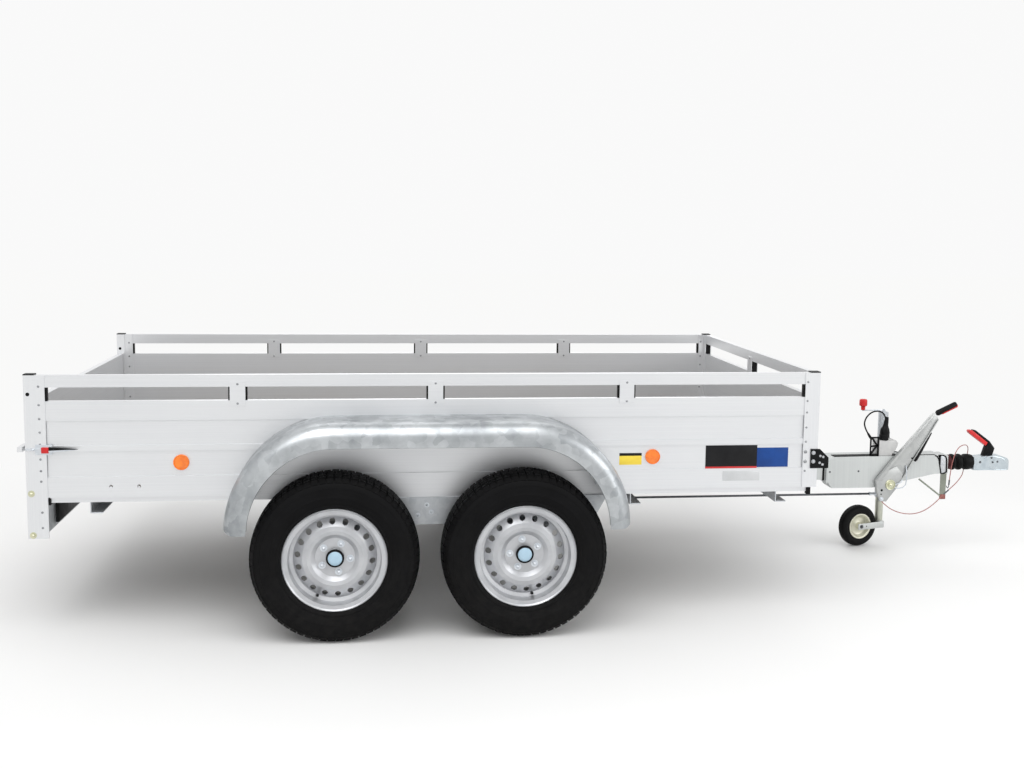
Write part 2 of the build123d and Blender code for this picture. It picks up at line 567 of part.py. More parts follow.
with BuildPart() as trailing_arms:
    for sign in SIDES.values():
        for x in AXLES.values():
            with BuildSketch(Plane.XZ.offset(-sign * CARRIER_OUTER)):
                with Locations((x + ARM_LEAD, AXLE_Z)):
                    Circle(ARM_END)
                with Locations((x, WHEEL_RADIUS)):
                    Circle(ARM_END)
                with BuildLine():
                    Polyline((x + ARM_LEAD - 22, AXLE_Z + 26), (x + ARM_LEAD + 22, AXLE_Z - 26),
                             (x + 22, WHEEL_RADIUS - 26), (x - 22, WHEEL_RADIUS + 26), close=True)
                make_face()
            extrude(amount=-sign * ARM_WIDTH)
            with BuildSketch(Plane((x, sign * CARRIER_OUTER, WHEEL_RADIUS), z_dir=(0, sign, 0))):
                Circle(STUB_RADIUS)
            extrude(amount=STUB_END_Y - CARRIER_OUTER)
save(trailing_arms.part, "trailing_arms")


# ---------------------------------------------------------------- road wheels
BEAD_HALF = RIM_HALF_WIDTH - 6.0
BEAD_DEPTH = 13.0           # of the tyre's bead, inwards from the rim's edge
RIDGE = HOLE_CIRCLE_RADIUS - 35.0       # radius of the disc's raised ring
DISH_FOOT = RIDGE - 28.0
DISC_SHEET = 5.0
BOSS = 30.0                 # radius of the hub's end
BOSS_OUT = 18.0             # past the mounting face
DRUM = RIDGE + 6.0          # outer radius of the brake drum
DRUM_SHEET = 6.0
DRUM_INNER = 82.0           # inner edge, from the wheel's middle plane
for axle_name, x in AXLES.items():
    for side, sign in SIDES.items():
        plane = Plane((x, sign * WHEEL_Y, WHEEL_RADIUS), x_dir=(0, sign, 0), z_dir=(1, 0, 0))
        spin = Axis((x, 0, WHEEL_RADIUS), (0, 1, 0))
        half = TYRE_WIDTH / 2
        seat = RIM_SEAT_RADIUS + 0.4
        widest = (RIM_FLANGE_RADIUS + WHEEL_RADIUS) / 2 - 8.35
        with BuildPart() as tyre:
            with BuildSketch(plane):
                with BuildLine():
                    for s in (1, -1):
                        foot = (s * (BEAD_HALF - 1), seat)
                        lip = (s * (BEAD_HALF - 1), RIM_FLANGE_RADIUS - 2)
                        guard = (s * (RIM_HALF_WIDTH + 2), RIM_FLANGE_RADIUS + 4)
                        shoulder = (s * (half - 12), WHEEL_RADIUS - 17)
                        toe = (s * (BEAD_HALF - BEAD_DEPTH), seat)
                        liner = (s * (BEAD_HALF - BEAD_DEPTH), RIM_FLANGE_RADIUS + 4)
                        Line(foot, lip)
                        Line(lip, guard)
                        ThreePointArc(guard, (s * half, widest), shoulder)
                        Line(shoulder, (s * (half - 25), WHEEL_RADIUS - 5))
                        Line(foot, toe)
                        Line(toe, liner)
                        ThreePointArc(liner, (s * (half - 13), widest), (s * (half - 30), WHEEL_RADIUS - 22))
                    ThreePointArc((half - 25, WHEEL_RADIUS - 5), (0, WHEEL_RADIUS),
                                  (25 - half, WHEEL_RADIUS - 5))
                    ThreePointArc((half - 30, WHEEL_RADIUS - 22), (0, WHEEL_RADIUS - 15),
                                  (30 - half, WHEEL_RADIUS - 22))
                make_face()
            revolve(axis=spin)
        save(tyre.part, f"tyre_{axle_name}_{side}")

        with BuildPart() as rim:
            with BuildSketch(plane):
                with BuildLine():
                    # barrel, outside from the outer flange inwards
                    Polyline((RIM_HALF_WIDTH + 2, RIM_FLANGE_RADIUS - 3), (RIM_HALF_WIDTH, RIM_FLANGE_RADIUS),
                             (RIM_HALF_WIDTH - 4, RIM_FLANGE_RADIUS - 1), (BEAD_HALF, RIM_FLANGE_RADIUS - 8),
                             (BEAD_HALF, RIM_SEAT_RADIUS), (34, RIM_SEAT_RADIUS - 4), (28, WELL_RADIUS),
                             (-8, WELL_RADIUS), (-20, RIM_SEAT_RADIUS - 4), (-BEAD_HALF, RIM_SEAT_RADIUS),
                             (-BEAD_HALF, RIM_FLANGE_RADIUS - 8), (4 - RIM_HALF_WIDTH, RIM_FLANGE_RADIUS - 1),
                             (-RIM_HALF_WIDTH, RIM_FLANGE_RADIUS), (-RIM_HALF_WIDTH, RIM_FLANGE_RADIUS - 3),
                             (-BEAD_HALF - 3, RIM_FLANGE_RADIUS - 8),
                             (-BEAD_HALF - 3, RIM_SEAT_RADIUS - RIM_SHEET), (-24, RIM_SEAT_RADIUS - 8),
                             (-12, WELL_RADIUS - RIM_SHEET), (32, WELL_RADIUS - RIM_SHEET),
                             (38, RIM_SEAT_RADIUS - 8), (BEAD_HALF + 3, RIM_SEAT_RADIUS - RIM_SHEET),
                             (BEAD_HALF + 3, RIM_FLANGE_RADIUS - 8), close=True)
                make_face()
                with BuildLine():
                    # disc: hub face, dish ridge, holed cone, edge welded in the well
                    Polyline((WHEEL_OFFSET, STUB_RADIUS + FIT), (WHEEL_OFFSET, DISH_FOOT), (42, RIDGE - 12),
                             (46, RIDGE), (42, RIDGE + 14), (20, WELL_RADIUS - 7), (20, WELL_RADIUS - 2.5),
                             (26, WELL_RADIUS - 2.5), (26, WELL_RADIUS - 5), (47, RIDGE + 17), (52, RIDGE),
                             (47, RIDGE - 14), (WHEEL_OFFSET + DISC_SHEET, DISH_FOOT - 2),
                             (WHEEL_OFFSET + DISC_SHEET, BOSS + 3), (WHEEL_OFFSET + BOSS_OUT, BOSS),
                             (WHEEL_OFFSET + BOSS_OUT, STUB_RADIUS + FIT), close=True)
                make_face()
                # brake drum behind the disc
                with BuildLine():
                    Polyline((WHEEL_OFFSET, STUB_RADIUS + 0.1), (WHEEL_OFFSET, DRUM), (-DRUM_INNER, DRUM),
                             (-DRUM_INNER, DRUM - DRUM_SHEET), (10, DRUM - DRUM_SHEET), (10, STUB_RADIUS + 0.1),
                             close=True)
                make_face()
            revolve(axis=spin)
            with Locations(Plane((x, sign * WHEEL_Y, WHEEL_RADIUS), z_dir=(0, sign, 0))):
                with PolarLocations(HOLE_CIRCLE_RADIUS, HOLE_COUNT, start_angle=HOLE_START):
                    Hole(HOLE_RADIUS, depth=120)
        save(rim.part, f"rim_{axle_name}_{side}")

# ---------------------------------------------------------------- drawbar
BAR_HALF = 50.0
BAR_DEPTH = 150.0
BAR_OVER = 31.0             # beam's top over the drawbar tube's
BAR_SLOPE = 4.0             # rise of its top along its length
NOSE_RISE = 62.0            # rise of its underside to the nose
BAR_FROM_BOX = 374.0        # rear end of the beam ahead of the box
BAR_LENGTH = 510.0
BAR_BEND = 206.0            # from there to the bend of its underside
BAR_TAIL = 20.0             # of the beam behind its top strip
BAR_SHEET = 4.0
BAR_TOP = DRAW_TUBE_TOP + BAR_OVER
BAR_BOTTOM = BAR_TOP - BAR_DEPTH
NOSE_TOP = BAR_TOP + BAR_SLOPE
NOSE_BOTTOM = BAR_BOTTOM + NOSE_RISE
BAR_REAR_X = FRONT_FACE_X + BAR_FROM_BOX
BAR_BEND_X = BAR_REAR_X + BAR_BEND
BAR_FRONT_X = BAR_REAR_X + BAR_LENGTH
TUBE_HALF = DRAW_TUBE / 2
TUBE_SHEET = 5.0
TUBE_LAP = 60.0             # of the tube inside the beam
TUBE_BOTTOM = DRAW_TUBE_TOP - DRAW_TUBE
TUBE_REAR_X = FRONT_WHEEL_X + ARM_LEAD + AXLE_TUBE / 2
COLLAR_SHEET = 8.0
COLLAR_EDGE = 14.0
COLLAR_X = BAR_REAR_X - 30.0
with BuildPart() as drawbar_tube:
    add_box((TUBE_REAR_X, -TUBE_HALF, TUBE_BOTTOM), (BAR_REAR_X + TUBE_LAP, TUBE_HALF, DRAW_TUBE_TOP))
    add_box((TUBE_REAR_X, -TUBE_HALF + TUBE_SHEET, TUBE_BOTTOM + TUBE_SHEET),
            (BAR_REAR_X + TUBE_LAP, TUBE_HALF - TUBE_SHEET, DRAW_TUBE_TOP - TUBE_SHEET), Mode.SUBTRACT)
save(drawbar_tube.part, "drawbar_tube")

with BuildPart() as drawbar_beam:
    tail_low = BAR_BOTTOM + 1.5 * BAR_TAIL
    with BuildSketch(Plane.XZ.offset(-BAR_HALF)):
        with BuildLine():
            Polyline((BAR_REAR_X - BAR_TAIL, BAR_TOP - BAR_TAIL), (BAR_REAR_X, BAR_TOP),
                     (BAR_FRONT_X, NOSE_TOP), (BAR_FRONT_X, NOSE_BOTTOM), (BAR_BEND_X, BAR_BOTTOM),
                     (BAR_REAR_X, BAR_BOTTOM), (BAR_REAR_X - BAR_TAIL, tail_low), close=True)
        make_face()
    extrude(amount=2 * BAR_HALF)
    with BuildSketch(Plane.XZ.offset(-BAR_HALF + BAR_SHEET)):
        with BuildLine():
            Polyline((BAR_REAR_X - BAR_TAIL, BAR_TOP - BAR_TAIL - BAR_SHEET), (BAR_REAR_X, BAR_TOP - BAR_SHEET),
                     (BAR_FRONT_X, NOSE_TOP - BAR_SHEET), (BAR_FRONT_X, NOSE_BOTTOM + BAR_SHEET),
                     (BAR_BEND_X, BAR_BOTTOM + BAR_SHEET), (BAR_REAR_X, BAR_BOTTOM + BAR_SHEET),
                     (BAR_REAR_X - BAR_TAIL, tail_low + BAR_SHEET), close=True)
        make_face()
    extrude(amount=2 * (BAR_HALF - BAR_SHEET), mode=Mode.SUBTRACT)
save(drawbar_beam.part, "drawbar_beam")

with BuildPart() as drawbar_flange:
    collar_half = TUBE_HALF + COLLAR_EDGE
    add_box((COLLAR_X, -collar_half, TUBE_BOTTOM - COLLAR_EDGE),
            (COLLAR_X + COLLAR_SHEET, collar_half, DRAW_TUBE_TOP + COLLAR_EDGE))
    add_box((COLLAR_X, -TUBE_HALF, TUBE_BOTTOM), (COLLAR_X + COLLAR_SHEET, TUBE_HALF, DRAW_TUBE_TOP),
            Mode.SUBTRACT)
    for sign in SIDES.values():
        ys = sorted((sign * TUBE_HALF, sign * (BAR_HALF - BAR_SHEET)))
        add_box((COLLAR_X + COLLAR_SHEET, ys[0], TUBE_BOTTOM + 10),
                (BAR_REAR_X + TUBE_LAP - 10, ys[1], DRAW_TUBE_TOP - 10))
save(drawbar_flange.part, "drawbar_flange")

# overrun unit: housing, bellows, coupling head
AXIS_DROP = 10.0            # draw rod's axis below the top of the drawbar tube
HOUSING_LENGTH = 66.0
CASTING_PLATE = 28.0
CASTING_LIP = 14.0
GAITER_LENGTH = 143.0
HEAD_LENGTH = 188.2
DRAW_ROD_RADIUS = 25.0
AXIS_Z = DRAW_TUBE_TOP - AXIS_DROP
HOUSING_FRONT_X = BAR_FRONT_X + HOUSING_LENGTH
GAITER_END_X = HOUSING_FRONT_X + GAITER_LENGTH
HEAD_REAR_X = GAITER_END_X + FIT
NOSE_X = HEAD_REAR_X + HEAD_LENGTH
with BuildPart() as overrun_housing:
    casting = (
        # rear x, front x, half width, low z, high z
        (BAR_FRONT_X, BAR_FRONT_X + CASTING_PLATE, BAR_HALF, NOSE_BOTTOM, NOSE_TOP),
        (BAR_FRONT_X + CASTING_PLATE, HOUSING_FRONT_X - CASTING_LIP, BAR_HALF - 6, NOSE_BOTTOM + 4, BAR_TOP),
        (HOUSING_FRONT_X - CASTING_LIP, HOUSING_FRONT_X, BAR_HALF - 2, NOSE_BOTTOM + 2, BAR_TOP),
    )
    for rear, front, half, low, high in casting:
        add_box((rear, -half, low), (front, half, high))
    with BuildSketch(Plane((HOUSING_FRONT_X, 0, AXIS_Z), z_dir=(1, 0, 0))):
        Circle(DRAW_ROD_RADIUS)
    extrude(amount=HEAD_REAR_X - HOUSING_FRONT_X)
save(overrun_housing.part, "overrun_housing")

GAITER_OUT = 37.0
GAITER_IN = 29.0
GAITER_RIBS = 5
with BuildPart() as gaiter:
    pitch = (GAITER_END_X - HOUSING_FRONT_X - 2 * FIT) / GAITER_RIBS
    with BuildSketch(Plane((HOUSING_FRONT_X + FIT, 0, AXIS_Z), x_dir=(1, 0, 0), z_dir=(0, -1, 0))):
        with BuildLine():
            points = []
            for rib in range(GAITER_RIBS):
                start = rib * pitch
                points += [(start, GAITER_IN + 2), (start + pitch * 0.3, GAITER_OUT),
                           (start + pitch * 0.7, GAITER_OUT)]
            end = GAITER_RIBS * pitch
            Polyline(*points, (end, GAITER_IN + 2), (end, DRAW_ROD_RADIUS + 0.5), (0, DRAW_ROD_RADIUS + 0.5),
                     close=True)
        make_face()
    revolve(axis=Axis((0, 0, AXIS_Z), (1, 0, 0)))
save(gaiter.part, "gaiter")

HEAD_DROP = 37.0            # head's underside below the draw rod's axis
HEAD_BOTTOM = AXIS_Z - HEAD_DROP
BALL_RADIUS = 25.0
BALL_X = NOSE_X - 46.0
HEAD_HALF = 32.0
HEAD_REAR_HALF = 26.0
HEAD_TOP_REAR = HEAD_BOTTOM + 62.0
HEAD_TOP = HEAD_BOTTOM + 68.0
SOCKET_RADIUS = BALL_RADIUS + 0.5
SOCKET_Z = HEAD_BOTTOM + 26.0
with BuildPart() as coupling_head:
    with BuildSketch(Plane.XZ.offset(-HEAD_HALF)):
        with BuildLine():
            Polyline((HEAD_REAR_X, HEAD_BOTTOM), (NOSE_X, HEAD_BOTTOM), (NOSE_X, HEAD_BOTTOM + 24),
                     (NOSE_X - 8, HEAD_BOTTOM + 44), (NOSE_X - 26, HEAD_BOTTOM + 60), (NOSE_X - 52, HEAD_TOP),
                     (HEAD_REAR_X + 60, HEAD_TOP), (HEAD_REAR_X, HEAD_TOP_REAR), close=True)
        make_face()
    extrude(amount=2 * HEAD_HALF)
    with BuildSketch(Plane((0, 0, HEAD_BOTTOM))):
        with BuildLine():
            Polyline((NOSE_X - HEAD_HALF, HEAD_HALF), (BALL_X - 40, HEAD_HALF),
                     (BALL_X - 62, HEAD_REAR_HALF), (HEAD_REAR_X, HEAD_REAR_HALF),
                     (HEAD_REAR_X, -HEAD_REAR_HALF), (BALL_X - 62, -HEAD_REAR_HALF),
                     (BALL_X - 40, -HEAD_HALF), (NOSE_X - HEAD_HALF, -HEAD_HALF))
            ThreePointArc((NOSE_X - HEAD_HALF, -HEAD_HALF), (NOSE_X, 0), (NOSE_X - HEAD_HALF, HEAD_HALF))
        make_face()
    extrude(amount=HEAD_TOP - HEAD_BOTTOM, mode=Mode.INTERSECT)
    with Locations((BALL_X, 0, SOCKET_Z)):
        Sphere(SOCKET_RADIUS, mode=Mode.SUBTRACT)
    with Locations((BALL_X, 0, HEAD_BOTTOM)):
        Cylinder(SOCKET_RADIUS, SOCKET_Z - HEAD_BOTTOM, align=(Align.CENTER, Align.CENTER, Align.MIN),
                 mode=Mode.SUBTRACT)
save(coupling_head.part, "coupling_head")

HANDLE_HALF = 14.0
HANDLE_FOOT_X = HEAD_REAR_X + 46.7
HANDLE_OUTLINE = (
    # ahead of the foot, above the head
    (4, 0), (16, 32), (18, 46), (-64, 107), (-68, 119), (-40, 124), (36, 70), (64, 34), (52, 0),
)
with BuildPart() as coupling_handle:
    with BuildSketch(Plane.XZ.offset(-HANDLE_HALF)):
        with BuildLine():
            Polyline(*[(HANDLE_FOOT_X + dx, HEAD_TOP + dz) for dx, dz in HANDLE_OUTLINE], close=True)
        make_face()
    extrude(amount=2 * HANDLE_HALF)
save(coupling_handle.part, "coupling_handle")

# ---------------------------------------------------------------- handbrake
LEVER_GAP = 3.0             # off the beam's side
LEVER_WIDTH = 22.0
LEVER_IN = -BAR_HALF - LEVER_GAP
LEVER_OUT = LEVER_IN - LEVER_WIDTH
LEVER_MIDDLE = (LEVER_IN + LEVER_OUT) / 2
PIVOT_X = BAR_REAR_X + 288.0
PIVOT_Z = BAR_BOTTOM + 11.0
PIVOT_RADIUS = 12.7
PIVOT_END = 8.0             # past the lever
LEVER_OUTLINE = (
    # ahead of the pivot, above the pivot
    (-56, -74), (-75, -18), (-80, 28), (-8, 116), (178, 333), (196, 349), (212, 333), (219, 318), (119, 151),
    (86, 95), (24, -15), (-24, -76),
)
with BuildPart() as brake_lever:
    with BuildSketch(Plane.XZ.offset(-LEVER_IN)):
        with BuildLine():
            Polyline(*[(PIVOT_X + dx, PIVOT_Z + dz) for dx, dz in LEVER_OUTLINE], close=True)
        make_face()
    extrude(amount=LEVER_WIDTH)
    with Locations(Plane((PIVOT_X, LEVER_IN, PIVOT_Z), z_dir=(0, -1, 0))):
        Cylinder(PIVOT_RADIUS + FIT, LEVER_WIDTH, align=(Align.CENTER, Align.CENTER, Align.MIN),
                 mode=Mode.SUBTRACT)
save(brake_lever.part, "brake_lever")

with BuildPart() as lever_pivot:
    with BuildSketch(Plane.XZ.offset(BAR_HALF)):
        with Locations((PIVOT_X, PIVOT_Z)):
            Circle(PIVOT_RADIUS)
    extrude(amount=LEVER_GAP + LEVER_WIDTH + PIVOT_END)
save(lever_pivot.part, "lever_pivot")

GRIP_RADIUS = 14.0
GRIP_START = (216.0, 349.0)             # from the pivot
GRIP_END = (304.0, 390.0)
with BuildPart() as lever_grip:
    start, end = (Vector(PIVOT_X + dx, LEVER_MIDDLE, PIVOT_Z + dz) for dx, dz in (GRIP_START, GRIP_END))
    with BuildSketch(Plane(start, z_dir=end - start)):
        Circle(GRIP_RADIUS)
    extrude(amount=(end - start).length)
save(lever_grip.part, "lever_grip")

SPRING_FEET = ((113.0, 129.0), (187.0, 251.0))      # from the pivot
SPRING_RADIUS = 9.0
SPRING_EYE = 16.0
with BuildPart() as gas_spring:
    start, end = (Vector(PIVOT_X + dx, LEVER_MIDDLE, PIVOT_Z + dz) for dx, dz in SPRING_FEET)
    with BuildSketch(Plane(start, z_dir=end - start)):
        Circle(SPRING_RADIUS)
    extrude(amount=(end - start).length)
    # an eye at each end, bearing on the lever's edge
    for foot in (start, end):
        with BuildSketch(Plane(foot + Vector(0, SPRING_RADIUS, 0), z_dir=(0, -1, 0))):
            Circle(SPRING_EYE)
        extrude(amount=2 * SPRING_RADIUS)
    add(brake_lever.part, mode=Mode.SUBTRACT)
save(gas_spring.part, "gas_spring")

ROD_Z = BAR_BOTTOM - 42.0
ROD_RADIUS = 5.0
ROD_LEAD = 106.0            # rear end ahead of the front wheels
ROD_PAST = 2.0              # front end past the lever's pivot
HANGER_WIDTH = 20.0
HANGER_HALF = 4.0
HANGER_LEADS = (80.0, 1160.0)           # ahead of the rod's rear end
YOKE = 12.0
YOKE_BACK = 22.0
YOKE_LENGTH = 16.0
ROD_REAR_X = FRONT_WHEEL_X + ROD_LEAD
with BuildPart() as brake_rod:
    with BuildSketch(Plane((ROD_REAR_X, 0, ROD_Z), z_dir=(1, 0, 0))):
        Circle(ROD_RADIUS)
    extrude(amount=PIVOT_X + ROD_PAST - ROD_REAR_X)
    for lead in HANGER_LEADS:
        x = ROD_REAR_X + lead
        add_box((x, -HANGER_HALF, ROD_Z), (x + HANGER_WIDTH, HANGER_HALF, TUBE_BOTTOM))
    x = PIVOT_X - YOKE_BACK
    add_box((x, LEVER_IN, ROD_Z - YOKE / 2), (x + YOKE_LENGTH, YOKE / 2, ROD_Z + YOKE / 2))
save(brake_rod.part, "brake_rod")

# ---------------------------------------------------------------- jockey wheel
COLUMN_RADIUS = 24.0
COLUMN_LENGTH = 419.0
COLUMN_CAP = 6.0
LEG_RADIUS = 19.0
LEG_OUT = 118.0             # leg showing below the column
LEG_SHORT = 60.0            # top of the leg below the column's top
JOCKEY_RADIUS = 101.0
JOCKEY_WIDTH = 50.0
CLAMP_HEIGHT = 68.0
CLAMP_RISE = 38.0           # above the beam's underside
CLAMP_ARM = 60.0
CLAMP_WALL = 8.0
COLUMN_X = BAR_REAR_X + 341.0
COLUMN_Y = BAR_HALF + 118.0
CLAMP_LOW = BAR_BOTTOM + CLAMP_RISE
CLAMP_HIGH = CLAMP_LOW + CLAMP_HEIGHT
LEG_BOTTOM = JOCKEY_RADIUS + 17.0
COLUMN_LOW = LEG_BOTTOM + LEG_OUT
COLUMN_TOP = COLUMN_LOW + COLUMN_LENGTH
TRAIL = 126.0
TRAIL_TURN = 194.0          # direction of the trail in the ground plane, from +X
trail_dir = Vector(math.cos(math.radians(TRAIL_TURN)), math.sin(math.radians(TRAIL_TURN)), 0)
axle_dir = Vector(trail_dir.Y, -trail_dir.X, 0)
JOCKEY_CENTRE = Vector(COLUMN_X, COLUMN_Y, JOCKEY_RADIUS) + trail_dir * TRAIL
with BuildPart() as jockey_clamp:
    add_box((COLUMN_X - CLAMP_ARM / 2, BAR_HALF, CLAMP_LOW),
            (COLUMN_X + CLAMP_ARM / 2, COLUMN_Y, CLAMP_HIGH))
    with BuildSketch(Plane((COLUMN_X, COLUMN_Y, CLAMP_LOW), z_dir=(0, 0, 1))):
        Circle(COLUMN_RADIUS + CLAMP_WALL)
    extrude(amount=CLAMP_HEIGHT)
    with BuildSketch(Plane((COLUMN_X, COLUMN_Y, CLAMP_LOW), z_dir=(0, 0, 1))):
        Circle(COLUMN_RADIUS + FIT)
    extrude(amount=CLAMP_HEIGHT, mode=Mode.SUBTRACT)
save(jockey_clamp.part, "jockey_clamp")

with BuildPart() as jockey_column:
    with BuildSketch(Plane((COLUMN_X, COLUMN_Y, COLUMN_LOW), z_dir=(0, 0, 1))):
        Circle(COLUMN_RADIUS)
        Circle(LEG_RADIUS + FIT, mode=Mode.SUBTRACT)
    extrude(amount=COLUMN_TOP - COLUMN_LOW)
    with BuildSketch(Plane((COLUMN_X, COLUMN_Y, COLUMN_TOP), z_dir=(0, 0, 1))):
        Circle(COLUMN_RADIUS)
    extrude(amount=COLUMN_CAP)
save(jockey_column.part, "jockey_column")

CRANK_REACH = 106.0
CRANK_STEM = (7.0, 12.0)                # radius, height
CRANK_NECK = (10.0, 17.0)
CRANK_KNOB = (19.0, 35.0)
CRANK_SHEET = 6.0
CRANK_HALF = 5.0
ON_BASE = (Align.CENTER, Align.CENTER, Align.MIN)
with BuildPart() as jockey_crank:
    stem_z = COLUMN_TOP + COLUMN_CAP
    arm_z = stem_z + CRANK_STEM[1] - CRANK_SHEET
    neck_z = arm_z + CRANK_SHEET
    with Locations((COLUMN_X, COLUMN_Y, stem_z)):
        Cylinder(*CRANK_STEM, align=ON_BASE)
    add_box((COLUMN_X - CRANK_REACH - CRANK_HALF, COLUMN_Y - CRANK_HALF, arm_z),
            (COLUMN_X + CRANK_HALF, COLUMN_Y + CRANK_HALF, neck_z))
    with Locations((COLUMN_X - CRANK_REACH, COLUMN_Y, neck_z)):
        Cylinder(*CRANK_NECK, align=ON_BASE)
    with Locations((COLUMN_X - CRANK_REACH, COLUMN_Y, neck_z + CRANK_NECK[1])):
        Cylinder(*CRANK_KNOB, align=ON_BASE)
save(jockey_crank.part, "jockey_crank")

FORK_SHEET = 5.0
FORK_HALF = JOCKEY_WIDTH / 2 + RUNNING
CROWN_FRONT = 17.0
CROWN_REAR = 8.0
CROWN_LOW = 86.0
FORK_END = 18.0             # past the wheel's axle
JOCKEY_AXLE_RADIUS = 6.0
with BuildPart() as jockey_leg:
    with BuildSketch(Plane((COLUMN_X, COLUMN_Y, LEG_BOTTOM), z_dir=(0, 0, 1))):
        Circle(LEG_RADIUS)
    extrude(amount=COLUMN_TOP - LEG_SHORT - LEG_BOTTOM)
    fork = Plane((COLUMN_X, COLUMN_Y, 0), x_dir=trail_dir, z_dir=axle_dir)
    for low in (-FORK_HALF - FORK_SHEET, FORK_HALF):
        with BuildSketch(fork.offset(low)):
            with BuildLine():
                Polyline((TRAIL + FORK_END, JOCKEY_RADIUS - 16), (TRAIL + FORK_END, JOCKEY_RADIUS + 14),
                         (-CROWN_REAR, LEG_BOTTOM), (-CROWN_REAR, CROWN_LOW), close=True)
            make_face()
        extrude(amount=FORK_SHEET)
    with BuildSketch(fork.offset(-FORK_HALF)):
        with BuildLine():
            Polyline((CROWN_FRONT, CROWN_LOW), (CROWN_FRONT, LEG_BOTTOM), (-CROWN_REAR, LEG_BOTTOM),
                     (-CROWN_REAR, CROWN_LOW), close=True)
        make_face()
    extrude(amount=2 * FORK_HALF)
    with BuildSketch(fork.offset(-FORK_HALF)):
        with Locations((TRAIL, JOCKEY_RADIUS)):
            Circle(JOCKEY_AXLE_RADIUS)
    extrude(amount=2 * FORK_HALF)
save(jockey_leg.part, "jockey_leg")

JOCKEY_BORE = JOCKEY_RADIUS - 39.0      # inner radius of its tyre
JOCKEY_WALL = JOCKEY_RADIUS - 19.0      # where its sidewall is widest
JOCKEY_SHOULDER = JOCKEY_RADIUS - 5.0
spin_plane = Plane(JOCKEY_CENTRE, x_dir=axle_dir, z_dir=trail_dir)
spin_axis = Axis(JOCKEY_CENTRE, axle_dir)
with BuildPart() as jockey_tyre:
    with BuildSketch(spin_plane):
        with BuildLine():
            h = JOCKEY_WIDTH / 2
            Line((-h + 3, JOCKEY_BORE), (h - 3, JOCKEY_BORE))
            Line((h - 3, JOCKEY_BORE), (h, JOCKEY_WALL))
            ThreePointArc((h, JOCKEY_WALL), (h - 5, JOCKEY_SHOULDER), (h - 14, JOCKEY_RADIUS - 0.5))
            Line((h - 14, JOCKEY_RADIUS - 0.5), (h - 20, JOCKEY_RADIUS))
            Line((h - 20, JOCKEY_RADIUS), (20 - h, JOCKEY_RADIUS))
            Line((20 - h, JOCKEY_RADIUS), (14 - h, JOCKEY_RADIUS - 0.5))
            ThreePointArc((14 - h, JOCKEY_RADIUS - 0.5), (5 - h, JOCKEY_SHOULDER), (-h, JOCKEY_WALL))
            Line((-h, JOCKEY_WALL), (-h + 3, JOCKEY_BORE))
        make_face()
    revolve(axis=spin_axis)
save(jockey_tyre.part, "jockey_tyre")

with BuildPart() as jockey_rim:
    with BuildSketch(spin_plane):
        with BuildLine():
            h = JOCKEY_WIDTH / 2
            bore = JOCKEY_AXLE_RADIUS + FIT
            seat = JOCKEY_BORE - 0.4
            web = JOCKEY_BORE - 12
            Polyline((-h, bore), (h, bore), (h, 14), (6, 16), (6, web), (h - 2, web + 5), (h - 2, seat),
                     (2 - h, seat), (2 - h, web + 5), (-6, web), (-6, 16), (-h, 14), close=True)
        make_face()
    revolve(axis=spin_axis)
save(jockey_rim.part, "jockey_rim")

HANG_HALF = 3.0
HANG_OUTLINE = (
    # ahead of the housing's front, below its underside
    (-9.0, 0.0), (20.0, 0.0), (18.5, -138.0), (-8.5, -138.0),
)
HANG_ROD_RADIUS = 4.0
HANG_ROD = ((-118.0, -38.0), (-2.0, -125.0))
HANG_Z = NOSE_BOTTOM + 2.0
with BuildPart() as hanging_stay:
    with BuildSketch(Plane.XZ.offset(-HANG_HALF)):
        with BuildLine():
            Polyline(*[(HOUSING_FRONT_X + dx, HANG_Z + dz) for dx, dz in HANG_OUTLINE], close=True)
        make_face()
    extrude(amount=2 * HANG_HALF)
    start, end = (Vector(HOUSING_FRONT_X + dx, 0, HANG_Z + dz) for dx, dz in HANG_ROD)
    with BuildSketch(Plane(start, z_dir=end - start)):
        Circle(HANG_ROD_RADIUS)
    extrude(amount=(end - start).length)
save(hanging_stay.part, "hanging_stay")

# ---------------------------------------------------------------- plug holder, plug, cords
def on_beam(points):
    """Points given ahead of the beam's rear end, from its middle plane and above its top."""
    return [Vector(BAR_REAR_X + x, y, BAR_TOP + z) for x, y, z in points]


PLUG_CABLE_POINTS = on_beam((
    (265, -30, 162), (261, -30, 190), (234, -31, 216), (191, -33, 213), (159, -36, 184), (150, -39, 144),
    (172, -44, 108),
))
HOLDER_DEPTH = 80.0
HOLDER_RISE = 76.0
HOLDER_TOP = BAR_TOP + HOLDER_RISE
HOLDER_REAR_X = BAR_REAR_X + 226.0
HOLDER_OUTLINE = (
    # ahead of the holder's rear, above the beam
    (0, -2), (0, HOLDER_RISE), (86, HOLDER_RISE), (96, HOLDER_RISE - 13), (92, 48), (84, 30), (66, 8), (66, -2),
)
BRACKET_REAR_X = BAR_REAR_X + 182.0
BRACKET_SHEET = 6.0
BRACKET_TOP = BAR_TOP + 94.0
GLAND_RADIUS = 6.0
GLAND_LENGTH = 32.0
GLAND_START = PLUG_CABLE_POINTS[-1]
GLAND_DIR = GLAND_START - PLUG_CABLE_POINTS[-2]
